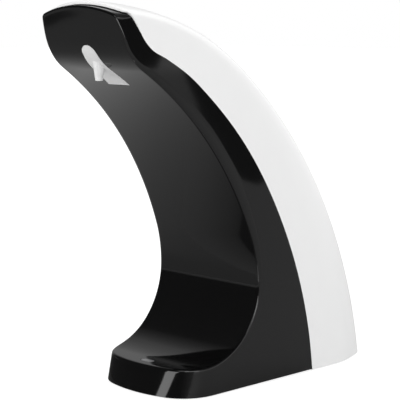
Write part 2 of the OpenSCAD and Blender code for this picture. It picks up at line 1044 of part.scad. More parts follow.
module ir_diodes() {
    color("#23252b")
        both_sides()
            translate([diode_x, lens_y + diode_r, sensor_board_z + board_t])
                cylinder(r = diode_r, h = tray_z - wall - flange_t - diode_gap - sensor_board_z - board_t);
}

module sensor_screws() {
    color("#b8babd")
        both_sides()
            translate([sensor_board_w/2 - 2*sensor_post_r, lens_y + sensor_board_l/2,
                       sensor_board_z + board_t])
                cylinder(r = sensor_post_r, h = screw_head_t);
}

// Outline of the motor's flat-sided can
module can(x0, x1) {
    intersection() {
        rod_x([pump_y, drive_z], motor_r, x0, x1);
        translate([x0, pump_y - motor_r, drive_z - motor_flat])
            cube([x1 - x0, 2*motor_r, 2*motor_flat]);
    }
}

module motor() {
    color("#b4b6b8")
        difference() {
            union() {
                can(bracket_x - motor_l, bracket_x);
                rod_x([pump_y, drive_z], motor_boss_r, bracket_x - touch, bracket_x + motor_boss_l);
            }
            rod_x([pump_y, drive_z], shaft_r + run_gap, bracket_x - motor_l - touch, bracket_x + motor_l);
        }
}

module motor_cap() {
    terminal = [0.5, 2, 5];
    color("#e8e6df")
        difference() {
            union() {
                can(bracket_x - motor_l - motor_cap_l, bracket_x - motor_l);
                for (s = [-1, 1])
                    translate([bracket_x - motor_l - motor_cap_l - terminal.z/2,
                               pump_y + s*motor_r/2 - terminal.y/2, drive_z])
                        cube([terminal.z, terminal.y, terminal.x]);
            }
            rod_x([pump_y, drive_z], shaft_r + 2*run_gap, bracket_x - motor_l - motor_cap_l/2, bracket_x);
        }
}

function bracket_screw_at() = [for (s = [-1, 1]) [bracket_x - foot_l + 3.5, pump_y + s*(motor_r + 1.4)]];

module motor_bracket() {
    bracket_w = 2*(motor_r + 4);
    color("#55585c")
        difference() {
            union() {
                translate([bracket_x, pump_y - bracket_w/2, plate_top])
                    cube([bracket_t, bracket_w, port_z + block_h/2 - plate_top]);
                translate([bracket_x - foot_l, pump_y - bracket_w/2, plate_top])
                    cube([foot_l, bracket_w, foot_t]);
            }
            rod_x([pump_y, drive_z], motor_boss_r + plate_gap, bracket_x - touch, bracket_x + 2*bracket_t);
            for (p = bracket_screw_at())
                translate([p.x, p.y, 0])
                    cylinder(r = screw_r + plate_gap, h = far/10);
            pump_screw_holes(pump_screw_r + thread_gap, bracket_x - touch, 0);
        }
}

module bracket_screws() {
    color("#b8babd")
        for (p = bracket_screw_at())
            translate([p.x, p.y, plate_top + foot_t]) {
                cylinder(r = screw_head_r, h = screw_head_t);
                translate([0, 0, -foot_t - plate_t/2])
                    cylinder(r = screw_r, h = foot_t + plate_t/2 + touch);
            }
}

module drive_shaft() {
    color("#c4c6c8")
        rod_x([pump_y, drive_z], shaft_r, bracket_x - motor_l - motor_cap_l/4, shaft_end);
}

// Half the angle of a tooth at radius r
function tooth_half(r) = let (
        a = acos(min(1, gear_rb/max(r, gear_rb))),
        involute = (tan(a) - a*PI/180)*180/PI,
        at_pitch = (tan(gear_pa) - gear_pa*PI/180)*180/PI)
    90/gear_n + at_pitch - involute - gear_thin/2/gear_rp*180/PI;

function flank_r(i) = i == 0 ? gear_rr : gear_rb + (gear_ra - gear_rb)*(i - 1)/(flank_steps - 1);

module gear_2d(turn) {
    polygon([for (t = [0:gear_n - 1]) let (mid = turn + t*360/gear_n)
        each concat(
            [for (i = [0:flank_steps]) let (r = flank_r(i), a = mid - tooth_half(r)) r*[cos(a), sin(a)]],
            [for (i = [flank_steps:-1:0]) let (r = flank_r(i), a = mid + tooth_half(r))
                r*[cos(a), sin(a)]])]);
}

module gear(z, turn, bore) {
    translate([0, pump_y, z])
        rotate([90, 0, 90])
            linear_extrude(height = gear_w, center = true)
                difference() {
                    gear_2d(turn);
                    circle(bore);
                }
}

module drive_gear() {
    color("#e3ddc8")
        gear(drive_z, 90, shaft_r + thread_gap);
}

module idler_gear() {
    color("#e3ddc8")
        gear(idler_z, -90 + 180/gear_n, idler_pin_r + run_gap);
}

module idler_pin() {
    color("#c4c6c8")
        rod_x([pump_y, idler_z], idler_pin_r, -chamber_h - block_back/2, cover_x + block_front/2);
}

module block_2d() {
    translate([pump_y, port_z])
        rounded_rect(block_w, block_h, block_corner);
}

// A slice of the pump's block along X
module block_slice(x0, x1) {
    translate([x0, 0, 0])
        rotate([90, 0, 90])
            linear_extrude(height = x1 - x0)
                children();
}

module pump_screw_holes(r, x0, x1) {
    for (y = [-1, 1], z = [-1, 1])
        rod_x([pump_y + y*(block_w/2 - pump_screw_in), port_z + z*(block_h/2 - pump_screw_in)], r, x0, x1);
}

// A hose barb along Y from the block, pointing to side
module barb(side) {
    translate([0, pump_y + side*(block_w/2 - block_edge), port_z])
        rotate([-90*side, 0, 0])
            cylinder(r = barb_r, h = block_edge + barb_l);
}

module pump_body() {
    color("#c8c9c6")
        difference() {
            union() {
                block_slice(block_x, chamber_h)
                    block_2d();
                barb(-1);
                barb(1);
            }
            rod_x([pump_y, drive_z], chamber_r, -chamber_h, far);
            rod_x([pump_y, idler_z], chamber_r, -chamber_h, far);
            rod_x([pump_y, drive_z], shaft_r + run_gap, block_x - touch, far);
            rod_x([pump_y, drive_z], shaft_seal_r, block_x - touch, block_x + shaft_seal_t);
            rod_x([pump_y, idler_z], idler_pin_r + thread_gap, -chamber_h - block_back/2, far);
            pump_screw_holes(pump_screw_r + plate_gap, block_x - touch, far);
            translate([0, pump_y - block_w, port_z])
                rotate([-90, 0, 0])
                    cylinder(r = barb_bore, h = 2*block_w);
        }
}

module shaft_seal() {
    color("#2b2b2d")
        difference() {
            rod_x([pump_y, drive_z], shaft_seal_r - thread_gap, block_x + motor_boss_l/4,
                  block_x + shaft_seal_t);
            rod_x([pump_y, drive_z], shaft_r + run_gap, block_x - touch, far);
        }
}

module pump_gasket() {
    color("#6b6e70")
        difference() {
            block_slice(chamber_h, cover_x)
                block_2d();
            rod_x([pump_y, drive_z], chamber_r, chamber_h - touch, far);
            rod_x([pump_y, idler_z], chamber_r, chamber_h - touch, far);
            pump_screw_holes(pump_screw_r + plate_gap, chamber_h - touch, far);
        }
}

module pump_cover() {
    color("#c8c9c6")
        difference() {
            block_slice(cover_x, cover_x + block_front)
                block_2d();
            rod_x([pump_y, idler_z], idler_pin_r + thread_gap, cover_x - touch, cover_x + block_front/2);
            pump_screw_holes(pump_screw_r + plate_gap, cover_x - touch, far);
        }
}

module pump_screws() {
    head_x = cover_x + block_front;
    color("#b8babd") {
        pump_screw_holes(pump_screw_r, bracket_x + bracket_t/3, head_x + touch);
        pump_screw_holes(2*pump_screw_r, head_x, head_x + screw_head_t);
    }
}

module battery_box() {
    color("#3a3b3e") {
        translate([0, box_y, plate_top])
            difference() {
                translate([-box_w/2, 0, 0])
                    cube([box_w, box_l, box_top - plate_top]);
                translate([-box_w/2 + box_wall, box_wall, -touch])
                    cube([box_w - 2*box_wall, box_l - 2*box_wall, box_top - plate_top - box_roof]);
            }
        for (p = board_post_at())
            translate([p.x, p.y, box_top - touch])
                difference() {
                    cylinder(r = board_post_r, h = board_z - box_top + touch);
                    translate([0, 0, box_roof])
                        cylinder(r = pump_screw_r + thread_gap, h = board_z);
                }
    }
}

function board_post_at() = [for (x = [-1, 1], y = [board_screw_in, board_l - board_screw_in])
    [x*(board_w/2 - board_screw_in), board_y + y]];

function cell_y(i) = box_y + box_l/2 + (i - (cell_n - 1)/2)*cell_pitch;

module batteries() {
    nub_r = 1.9;
    nub_l = 1;
    color("#5d6f8c")
        for (i = [0:cell_n - 1])
            mirror([i % 2, 0, 0]) {
                rod_x([cell_y(i), cell_z], cell_r, -cell_l/2, cell_l/2 - nub_l);
                rod_x([cell_y(i), cell_z], nub_r, -cell_l/2, cell_l/2);
            }
}

module battery_contacts() {
    x0 = box_w/2 - box_wall - contact_t;
    color("#c9b97a")
        for (i = [0:cell_n - 1])
            both_sides()
                translate([x0, cell_y(i), cell_z]) {
                    translate([0, -contact_w/2, -contact_h/2])
                        cube([contact_t, contact_w, contact_h]);
                    rotate([0, -90, 0])
                        cylinder(r1 = contact_w/3, r2 = contact_t, h = contact_bump - contact_t/2);
                }
}

module battery_door() {
    door_w = box_w - 2*box_wall + 2*door_lip - 2*door_gap;
    door_l = box_l - 2*box_wall + 2*door_lip - 2*door_gap;
    at = [0, box_y + box_l + door_screw_y];
    color("#3a3b3e")
        difference() {
            union() {
                translate([-door_w/2, box_y + box_l/2 - door_l/2, plate_z])
                    cube([door_w, door_l, door_t]);
                translate([at.x, at.y, plate_z])
                    cylinder(r = boss_r, h = door_t);
                translate([-boss_r, at.y - door_screw_y, plate_z])
                    cube([2*boss_r, door_screw_y, door_t]);
            }
            translate([at.x, at.y, 0])
                cylinder(r = screw_r + plate_gap, h = far/10);
            translate([at.x, at.y, plate_z - touch])
                cylinder(r = screw_head_r + plate_gap, h = screw_head_t + touch);
        }
}

module door_gasket() {
    door_w = box_w - 2*box_wall;
    door_l = box_l - 2*box_wall;
    color("#6b6e70")
        translate([0, box_y + box_l/2, plate_z + door_t])
            linear_extrude(height = door_gasket_t)
                difference() {
                    square([door_w + 2*door_lip - 2*door_gap, door_l + 2*door_lip - 2*door_gap],
                           center = true);
                    square([door_w, door_l], center = true);
                }
}

module door_screw() {
    color("#b8babd")
        screw([0, box_y + box_l + door_screw_y], plate_z, screw_r, screw_head_r, plate_t);
}

module control_board() {
    color("#2f6b45")
        difference() {
            translate([-board_w/2, board_y, board_z])
                cube([board_w, board_l, board_t]);
            for (p = board_post_at())
                translate([p.x, p.y, 0])
                    cylinder(r = pump_screw_r + plate_gap, h = far);
        }
}

module control_chips() {
    color("#1d1d1f")
        for (c = chip_at)
            translate([c[0] - c[2]/2, board_y + c[1] - c[3]/2, board_z + board_t])
                cube([c[2], c[3], c[4]]);
}

module board_screws() {
    color("#b8babd")
        for (p = board_post_at())
            translate([p.x, p.y, board_z - 2*screw_head_t]) {
                cylinder(r = pump_screw_r, h = 2*screw_head_t + board_t + touch);
                translate([0, 0, 2*screw_head_t + board_t])
                    cylinder(r = 2*pump_screw_r, h = screw_head_t);
            }
}

front_shell();
rear_shell();
base_plate();
feet();
shell_screws();
nozzle();
nozzle_valve();
nozzle_elbow();
outlet_tube();
inlet_tube();
reservoir();
fill_lid();
lid_seal();
lid_pin();
power_button();
dose_button();
button_board();
button_switches();
button_screws();
sensor_lens();
sensor_board();
ir_diodes();
sensor_screws();
motor();
motor_cap();
motor_bracket();
bracket_screws();
drive_shaft();
drive_gear();
idler_gear();
idler_pin();
pump_body();
pump_cover();
pump_gasket();
shaft_seal();
pump_screws();
battery_box();
batteries();
battery_contacts();
battery_door();
door_gasket();
door_screw();
control_board();
control_chips();
board_screws();
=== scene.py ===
# %% [markdown]
# # An automatic soap dispenser
# The CAD model already has every working piece at its true size. This lesson gives it its looks: two
# smooth outer shells with soft edges and openings, procedural materials, a studio and a camera.
# The object's lengths are millimetres until a mesh is made, because it is small. The camera, the cards
# and the lamps are placed in metres, as Blender counts.

# %% Load the CAD frame
import json
import math
import bpy
import bmesh
import numpy as np
from mathutils import Matrix, Vector


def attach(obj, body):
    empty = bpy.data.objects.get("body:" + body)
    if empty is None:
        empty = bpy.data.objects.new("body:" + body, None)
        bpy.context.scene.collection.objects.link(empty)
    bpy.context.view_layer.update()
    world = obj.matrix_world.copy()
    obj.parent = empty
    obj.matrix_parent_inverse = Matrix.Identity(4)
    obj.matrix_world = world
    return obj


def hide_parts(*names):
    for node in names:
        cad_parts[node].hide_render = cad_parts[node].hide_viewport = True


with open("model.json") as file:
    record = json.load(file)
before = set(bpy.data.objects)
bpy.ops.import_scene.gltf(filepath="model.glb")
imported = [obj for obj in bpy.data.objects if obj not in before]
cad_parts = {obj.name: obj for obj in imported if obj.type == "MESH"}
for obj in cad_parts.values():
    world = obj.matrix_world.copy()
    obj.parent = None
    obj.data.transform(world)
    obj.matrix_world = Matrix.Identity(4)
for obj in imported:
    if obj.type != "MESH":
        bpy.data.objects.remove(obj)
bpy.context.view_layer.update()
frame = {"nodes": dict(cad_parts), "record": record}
MM = 0.001

# %% [markdown]
# ## The camera
# A photograph can only be compared with a render if both are seen from the same place. The lens and
# the place were worked out from straight edges and known circles on the object. Blender's lens is a
# focal length over a sensor width: 1308 pixels of focal length over 400 pixels of picture. The Standard
# view shows a colour as it is written.

# %% Set the camera
PICTURE, FOCAL, SENSOR = 400.0, 1308.0, 36.0
CAMERA_AT = (0.52978, -0.56814, 0.21495)
LOOK_DOWN, LOOK_LEFT = 8.103, 43.594
scene = bpy.context.scene
camera_data = bpy.data.cameras.new("camera")
camera_data.sensor_width = SENSOR
camera_data.lens = SENSOR * FOCAL / PICTURE
camera_data.clip_start = 0.05
camera = bpy.data.objects.new("camera", camera_data)
camera.location = CAMERA_AT
camera.rotation_euler = (math.radians(90.0 - LOOK_DOWN), 0.0, math.radians(LOOK_LEFT))
scene.collection.objects.link(camera)
scene.camera = camera
scene.view_settings.view_transform = "Standard"
print("camera lens", round(camera_data.lens, 2), "mm")

# %% [markdown]
# ## The body's rule
# Seen from the side, the body is a chain of arcs. Its half width follows one rule everywhere: two
# flat flaring sides, cut by the round section of the back. Writing the rule once as a function lets
# both shells use it, so they meet exactly at their seam. A smooth minimum blends the two surfaces,
# which a hard minimum would leave as a crease.

# %% Half width of the body
BACK_C, BACK_R = np.array([-106.0, 60.0]), 162.0
REAR_R = 295.0
TURN = np.array([0.6, 0.8])
REAR_C = BACK_C + (BACK_R - REAR_R) * TURN
CROWN_R, EDGE_R, TILT = 103.0, 19.5, np.array([0.96, 0.28])
SIDE_HALF = 42.2
SIDE_FLARE, SIDE_TAPER = math.tan(math.radians(4.5)), math.tan(math.radians(0.6))
BLEND = 3.0


def flat_side(y, z):
    """Half width of the flat flaring sides."""
    return SIDE_HALF + SIDE_FLARE * y - SIDE_TAPER * z


def back_depth(p):
    """Depth of points [y, z] below the middle line of the back."""
    rel = p - BACK_C
    upper = rel[..., 1] * TURN[0] - rel[..., 0] * TURN[1] > 0
    high = BACK_R - np.linalg.norm(rel, axis=-1)
    low = REAR_R - np.linalg.norm(p - REAR_C, axis=-1)
    return np.where(upper, high, low)


def section_x(depth):
    """Half width of the back's section at a depth: crown, round edge, sloping side."""
    d = np.maximum(depth, 0.0)
    edge_d = CROWN_R - (CROWN_R - EDGE_R) * TILT[0]
    edge_x = (CROWN_R - EDGE_R) * TILT[1]
    low_d, low_x = edge_d - EDGE_R * TILT[1], edge_x + EDGE_R * TILT[0]
    crown = np.sqrt(np.maximum(CROWN_R**2 - (CROWN_R - d) ** 2, 0.0))
    edge = edge_x + np.sqrt(np.maximum(EDGE_R**2 - (edge_d - d) ** 2, 0.0))
    side = low_x + (d - low_d) * TILT[1] / TILT[0]
    return np.where(d < CROWN_R * (1 - TILT[0]), crown, np.where(d < low_d, edge, side))


def half_width(p, drop=0.0):
    """Half width of the body at points [y, z]; drop lowers the crown."""
    flat = flat_side(p[..., 0], p[..., 1])
    back = section_x(back_depth(p) - drop)
    near = np.maximum(BLEND - np.abs(flat - back), 0.0) / BLEND
    return np.maximum(np.minimum(flat, back) - near * near * BLEND / 4.0, 0.0)


print("half width at the tray", half_width(np.array([-40.0, 17.0])).round(2), "mm")

# %% [markdown]
# ## Lines of the side view
# A designer draws such a body as arcs that run into each other without a kink. Here the same arcs become
# dense rows of points. One helper draws an arc, one a smooth line through a few points, and one walks
# along a line by its length, so that any number of even steps can be taken from it.

# %% Line helpers
def along(line, f):
    """Points at fractions f of a polyline's length."""
    line = np.asarray(line, float)
    run = np.concatenate([[0.0], np.cumsum(np.linalg.norm(np.diff(line, axis=0), axis=1))])
    at = np.asarray(f, float) * run[-1]
    return np.stack([np.interp(at, run, line[:, k]) for k in range(line.shape[1])], axis=-1)


def arc(c, r, a0, a1, n=80):
    """Points of an arc from its centre, radius and two angles in degrees."""
    a = np.radians(np.linspace(a0, a1, n))
    return np.stack([c[0] + r * np.cos(a), c[1] + r * np.sin(a)], axis=1)


def curve(points, n=600):
    """A smooth line through points: cubic pieces with chord-based slopes."""
    p = np.asarray(points, float)
    t = np.concatenate([[0.0], np.cumsum(np.sqrt(np.linalg.norm(np.diff(p, axis=0), axis=1)))])
    m = np.gradient(p, t, axis=0)
    u = np.linspace(0.0, t[-1], n)
    i = np.clip(np.searchsorted(t, u) - 1, 0, len(t) - 2)
    h = (t[i + 1] - t[i])[:, None]
    s = (u - t[i])[:, None] / h
    return ((2 * s**3 - 3 * s**2 + 1) * p[i] + (s**3 - 2 * s**2 + s) * h * m[i]
            + (3 * s**2 - 2 * s**3) * p[i + 1] + (s**3 - s**2) * h * m[i + 1])


print("line helpers ready")

# %% [markdown]
# ## Plan of the base's front
# Seen from above, the front of the base is a wide arc with two round corners, and its wall leans back.
# The corner's circle touches the wide arc from inside and the flat side, which gives its centre. Where
# the corner ends the hollow has to end too, so this plan comes first.

# %% Plan of the base's front
TRAY_Z, FOOT_Z = 16.4, 0.4
NOSE_Y, NOSE_R, NOSE_HALF, CORNER_R = -67.0, 81.8, 38.9, 24.0
LEAN = math.radians(12.5)
corner_x = NOSE_HALF - CORNER_R
corner_y = NOSE_R - math.sqrt((NOSE_R - CORNER_R) ** 2 - corner_x**2)


def nose_y(plan_y, z):
    """Place along Y of a point of the plan at a height."""
    return NOSE_Y + z * math.tan(LEAN) + plan_y / math.cos(LEAN)


TRAY_END = nose_y(corner_y, TRAY_Z)
print("corner ends at", round(TRAY_END, 2), "mm")

# %% [markdown]
# ## The hollow and the seam
# The hollow is where the hand goes. From the face it runs over a small arc under the head, a long one
# down the arm, and two tighter ones into the tray. The seam between black and white is one long arc that
# swells by less than a millimetre in its upper part and ends in a small shoulder below the head. An arc
# needs only a centre, a radius and two angles, so it is easy to correct after a look at a render.

# %% Hollow
LOW_C, LOW_R = np.array([-49.7, 61.4]), 45.0
MID_C, MID_R = np.array([-78.2, 61.4]), 73.5
ARM_C, ARM_R = np.array([-195.2, 17.4]), 198.5
HEAD_C, HEAD_R = np.array([-71.552, 211.336]), 31.5
MID_A, ARM_SPLIT_A, ARM_A, FACE_A = 20.61, 45.1, 57.48, 201.0
LOW_SPLIT_A = -45.0
FACE_STEP = 1.6
FACE_UP = np.array([math.sin(math.radians(FACE_A)), -math.cos(math.radians(FACE_A))])
FACE_IN = np.array([FACE_UP[1], -FACE_UP[0]])
face_start = HEAD_C - HEAD_R * FACE_IN + FACE_UP * FACE_STEP
tray_a = math.degrees(math.asin((TRAY_END - LOW_C[0]) / LOW_R)) - 90.0
head_part = np.concatenate([[face_start], arc(HEAD_C, HEAD_R, FACE_A, 180.0 + ARM_A)])
arm_top = arc(ARM_C, ARM_R, ARM_A, ARM_SPLIT_A)[1:]
arm_low = np.concatenate([arc(ARM_C, ARM_R, ARM_SPLIT_A, MID_A)[1:], arc(MID_C, MID_R, MID_A, 0.0)[1:]])
deep_low = arc(LOW_C, LOW_R, 0.0, LOW_SPLIT_A)[1:]
deep_tray = arc(LOW_C, LOW_R, LOW_SPLIT_A, tray_a)[1:]
hollow_parts = [head_part, arm_top, arm_low, deep_low, deep_tray]
print("hollow starts at", face_start.round(2), "and ends at", deep_tray[-1].round(2))

# %% Seam
SEAM_C, SEAM_R = np.array([-218.1, -21.6]), 259.0
SEAM_TOP_A, SEAM_FOOT_A, SEAM_STEPS = 51.6, 4.85, 12
SEAM_BULGE = 0.8
SHOULDER = [(-91, 205), (-87.5, 200.1), (-82.6, 195.6), (-73, 190.9)]
long_arc = arc(SEAM_C, SEAM_R, SEAM_TOP_A, SEAM_FOOT_A, SEAM_STEPS)
upper_share = np.clip(np.linspace(0.1, 1.6, SEAM_STEPS), 0, 1)
bulge = SEAM_BULGE * np.sin(np.pi * upper_share) ** 2
long_arc += bulge[:, None] * (long_arc - SEAM_C) / SEAM_R
seam = curve(np.concatenate([SHOULDER, long_arc]))
print("seam length", round(float(np.linalg.norm(np.diff(seam, axis=0), axis=1).sum()), 1), "mm")

# %% [markdown]
# ## A skin from grids
# Each shell is made from grids of points. A grid becomes quads, and grids that share an edge are
# welded. Solidify then gives the skin a thickness, so the piece is closed and its rim is visible. A
# subdivided cage could make a skin too, but it pulls away from the sizes that the CAD model gives.

# %% Grid helpers
def quads(bm, grid):
    """Adds a grid of points (rows, columns, 3), in millimetres, to a bmesh."""
    rows, cols = grid.shape[:2]
    verts = [[bm.verts.new(tuple(grid[i, j] * MM)) for j in range(cols)] for i in range(rows)]
    for i in range(rows - 1):
        for j in range(cols - 1):
            bm.faces.new((verts[i][j], verts[i + 1][j], verts[i + 1][j + 1], verts[i][j + 1]))


def skin(name, grids, thickness, inside):
    """A closed piece from welded grids; inside gives a point behind the skin."""
    bm = bmesh.new()
    for grid in grids:
        quads(bm, grid)
    bmesh.ops.remove_doubles(bm, verts=bm.verts, dist=2e-5)
    bmesh.ops.dissolve_degenerate(bm, edges=bm.edges, dist=1e-6)
    bmesh.ops.recalc_face_normals(bm, faces=bm.faces)
    largest = max(bm.faces, key=lambda f: f.calc_area())
    place = largest.calc_center_median()
    if largest.normal.dot(place - inside(place)) < 0:
        bmesh.ops.reverse_faces(bm, faces=bm.faces)
    mesh = bpy.data.meshes.new(name)
    bm.to_mesh(mesh)
    bm.free()
    obj = bpy.data.objects.new(name, mesh)
    scene.collection.objects.link(obj)
    wall = obj.modifiers.new("wall", "SOLIDIFY")
    wall.thickness = thickness * MM
    wall.offset = -1.0
    wall.use_rim = True
    return obj


def settle(obj):
    """Replaces an object's mesh by its evaluated result and drops the modifiers."""
    graph = bpy.context.evaluated_depsgraph_get()
    mesh = bpy.data.meshes.new_from_object(obj.evaluated_get(graph))
    obj.modifiers.clear()
    obj.data = mesh
    return obj


def smooth(obj, angle):
    """Shades a piece smoothly, apart from edges sharper than an angle in degrees."""
    obj.data.shade_smooth()
    obj.data.set_sharp_from_angle(angle=math.radians(angle))


print("grid helpers ready")

# %% [markdown]
# ## The front shell
# It is one black moulding: the face of the head, the hollow, the tray and two side panels. Along the
# hollow a U-shaped section is swept: side panel, rounded edge, hollow, rounded edge, side panel. The
# edge is a quarter ellipse that is small at both ends and wide along the arm. A boolean of solids could
# make the same shape, but only a sweep gives long even quads, and glossy black shows every uneven one.

# %% Sections along the hollow
WALL_ROWS, FILLET_ROWS, ACROSS = 14, 8, 61
STATIONS = [46, 26, 60, 26, 14]
EDGE_MIN, EDGE_DEEPER, EDGE_WIDER = 1.1, 0.7, 5.0
low_seam = seam[seam[:, 1] >= FOOT_Z]
seam_cuts = [SHOULDER[0], (-78, 193.2), (-43, 169.8), (26.4, 61.4), tuple(low_seam[-1])]


def nearest(line, p):
    """Index of the point of a line that lies nearest to p."""
    return int(np.argmin(np.linalg.norm(line - np.asarray(p, float), axis=1)))


hollow_points, seam_points = [], []
for k, (part, n) in enumerate(zip(hollow_parts, STATIONS)):
    f = np.linspace(0.0, 1.0, n + 1)[(1 if k else 0):]
    whole = part if k == 0 else np.concatenate([hollow_parts[k - 1][-1:], part])
    hollow_points.append(along(whole, f))
    if k < len(seam_cuts) - 1:
        a, b = nearest(low_seam, seam_cuts[k]), nearest(low_seam, seam_cuts[k + 1])
        seam_points.append(along(low_seam[a:b + 1], f))
    else:
        seam_points.append(along([low_seam[-1], (nose_y(corner_y, FOOT_Z), FOOT_Z)], f))
hollow_points, seam_points = np.concatenate(hollow_points), np.concatenate(seam_points)
share = np.linspace(0.0, 1.0, len(hollow_points))
swell = np.sin(np.pi * np.clip((share - 0.12) / 0.8, 0, 1)) ** 2
edge_in, edge_run = EDGE_MIN + EDGE_DEEPER * swell, EDGE_MIN + EDGE_WIDER * swell
turn = np.linspace(0.0, np.pi / 2, FILLET_ROWS)
print("stations", len(share), "edge", edge_run.min().round(2), "to", edge_run.max().round(2), "mm")

# %% Sweep the U-shaped section
def panel_columns(p, q, inset, run):
    """Points from the edge's inner line to the seam, on the +X side of one station."""
    length = np.linalg.norm(q - p)
    d = (q - p) / length
    round_line = p + (run * (1 - np.cos(turn)))[:, None] * d
    edge = np.column_stack([half_width(round_line) - inset * (1 - np.sin(turn)), round_line])
    f = np.linspace(0.0, 1.0, WALL_ROWS + 1)[1:]
    line = p + d * (run + (length - run) * f)[:, None]
    return np.concatenate([edge, np.column_stack([half_width(line), line])])


sides = np.array([panel_columns(*station) for station in zip(hollow_points, seam_points, edge_in, edge_run)])
mirror = np.array([-1.0, 1.0, 1.0])
cross = np.linspace(-1.0, 1.0, ACROSS)
inner = sides[:, 0]
middle = np.stack([np.stack([inner[:, 0] * c, inner[:, 1], inner[:, 2]], axis=-1) for c in cross], axis=1)
sweep = np.concatenate([(sides * mirror)[:, :0:-1], middle, sides[:, 1:]], axis=1)
print("sweep grid", sweep.shape)

# %% [markdown]
# The head's face and the base's front close the two ends of the sweep, and share one recipe. Their rows
# run round the outline, first as a flat lens, then over a rounded edge, then along the wall. The first
# row is the station's straight line, and the rows slowly take the outline's shape. The end columns are
# the station's own points, so the grids weld.

# %% Closed ends of the sweep
def closed_end(lens_rows, lens, fillet, wall, station):
    """Grid of an end: lens rows, fillet rows and wall rows, its end columns taken from a station."""
    rows = [lens(f) for f in np.linspace(0.0, 1.0, lens_rows)]
    rows += [fillet(k) for k in range(1, FILLET_ROWS)]
    rows += [wall(j) for j in range(1, WALL_ROWS + 1)]
    grid = np.array(rows)
    for i in range(len(rows)):
        k = 0 if i < lens_rows else i - lens_rows + 1
        grid[i, -1], grid[i, 0] = station[k], station[k] * mirror
    return grid


def resample(outline):
    """An outline with one point for each column of an end."""
    return along(outline, np.linspace(0.0, 1.0, ACROSS))


def right_hand(line):
    """Unit normals on the right-hand side of a flat outline."""
    t = np.gradient(line, axis=0)
    n = np.stack([t[:, 1], -t[:, 0]], axis=1)
    return n / np.linalg.norm(n, axis=1)[:, None]


def mirrored(right):
    """A whole outline from its right half, which starts in the middle."""
    return np.concatenate([(right * [-1.0, 1.0])[:0:-1], right])


print("ends have", ACROSS, "columns")

# %% [markdown]
# The front of the base is the tray with its leaning wall. Its outline comes from the plan, at each
# height a little further back. The tray is level in front and runs into the hollow's last arc behind.

# %% Front of the base
TRAY_ROWS = 18
corner_a = math.degrees(math.atan2(corner_y - NOSE_R, corner_x))
corner = arc((corner_x, corner_y), CORNER_R, corner_a, 0.0, 40)
front = np.linspace(0.0, NOSE_R * math.cos(math.radians(corner_a)), 60)
plan = np.concatenate([np.column_stack([front, NOSE_R - np.sqrt(NOSE_R**2 - front**2)]), corner[1:]])
nose_edge = edge_in[-1]


def nose_outline(z):
    """Outline [x, y] of the base's front at a height."""
    line = np.column_stack([plan[:, 0], nose_y(plan[:, 1], z)])
    line[:, 0] = np.minimum(line[:, 0], flat_side(line[:, 1], z))
    return resample(mirrored(line))


def tray_height(y):
    """Height of the tray: level in front, on the hollow's arc behind."""
    on_arc = LOW_C[1] - np.sqrt(np.maximum(LOW_R**2 - (y - LOW_C[0]) ** 2, 0.0))
    return np.where(y < LOW_C[0], TRAY_Z, on_arc)


def tray_lens(f):
    """Row of the tray between the sweep's last line and the rim."""
    rim = nose_outline(TRAY_Z)
    rim = rim - right_hand(rim) * nose_edge
    xy = middle[-1][:, :2] * (1 - f) + rim * f
    return np.column_stack([xy, tray_height(xy[:, 1])])


def tray_fillet(k):
    """Row of the rounded edge of the tray."""
    sink = nose_edge * (1 - math.cos(turn[k]))
    rim = nose_outline(TRAY_Z - sink)
    rim = rim - right_hand(rim) * nose_edge * (1 - math.sin(turn[k]))
    return np.column_stack([rim, tray_height(rim[:, 1]) - sink])


def nose_wall(j):
    """Row of the leaning wall below the tray."""
    f = j / WALL_ROWS
    rim = nose_outline(TRAY_Z - nose_edge)
    top = np.column_stack([rim, tray_height(rim[:, 1]) - nose_edge])
    low = nose_outline(FOOT_Z)
    return top * (1 - f) + np.column_stack([low, np.full(ACROSS, FOOT_Z)]) * f


nose = closed_end(TRAY_ROWS, tray_lens, tray_fillet, nose_wall, sides[-1])
print("front of the base", nose[..., 1].min().round(2), "mm")

# %% [markdown]
# The head's face is a flat lens that leans over the hand. Its outline isn't drawn by hand: it is where
# the body's half width meets the plane of the face, a little narrower towards the top. The cap is the
# band from the face back to the white rim. Its far outline lies in the plane of the rim, so the wall
# between the two outlines is a plain blend.

# %% Outlines of the head
FACE_DROP, CAP_DROP, FACE_SLIM, SLIM_OVER = 2.9, 2.3, 0.06, 12.0
CLIMB_SPLIT, CLIMB_END = 12.0, 22.0
RIM_UP = np.array([-0.579, 0.8155])


def outline_on(line, drop, slim=0.0):
    """Outline [x, distance] where the body's half width meets a line of [y, z] points."""
    run = np.linalg.norm(line - line[0], axis=1)
    x = half_width(line, drop) * (1 - slim * np.clip(run / SLIM_OVER, 0.0, 1.0) ** 1.5)
    keep = x > 0.02
    last = int(np.argmin(keep)) if not keep.all() else len(x)
    right = np.column_stack([x[:last], run[:last]])
    tip = np.array([[0.0, run[min(last, len(run) - 1)]]])
    return mirrored(np.concatenate([right, tip])[::-1])


climb = np.concatenate([np.linspace(0.0, CLIMB_SPLIT, 60), np.linspace(CLIMB_SPLIT, CLIMB_END, 900)[1:]])
face_rim = resample(outline_on(hollow_points[0] + climb[:, None] * FACE_UP, FACE_DROP, FACE_SLIM))
cap_rim = resample(outline_on(seam_points[0] + climb[:, None] * RIM_UP, CAP_DROP))
print("face is", face_rim[:, 1].max().round(2), "mm tall")

# %% Face and cap of the head
FACE_ROWS = 16
head_edge = edge_in[0]


def on_face(flat, depth):
    """Points of the face's plane, sunk by depth along its inward normal."""
    yz = hollow_points[0] + flat[:, 1:] * FACE_UP + depth * FACE_IN
    return np.column_stack([flat[:, 0], yz])


def face_inset(d):
    """The face's outline, moved inwards."""
    return face_rim + right_hand(face_rim) * d


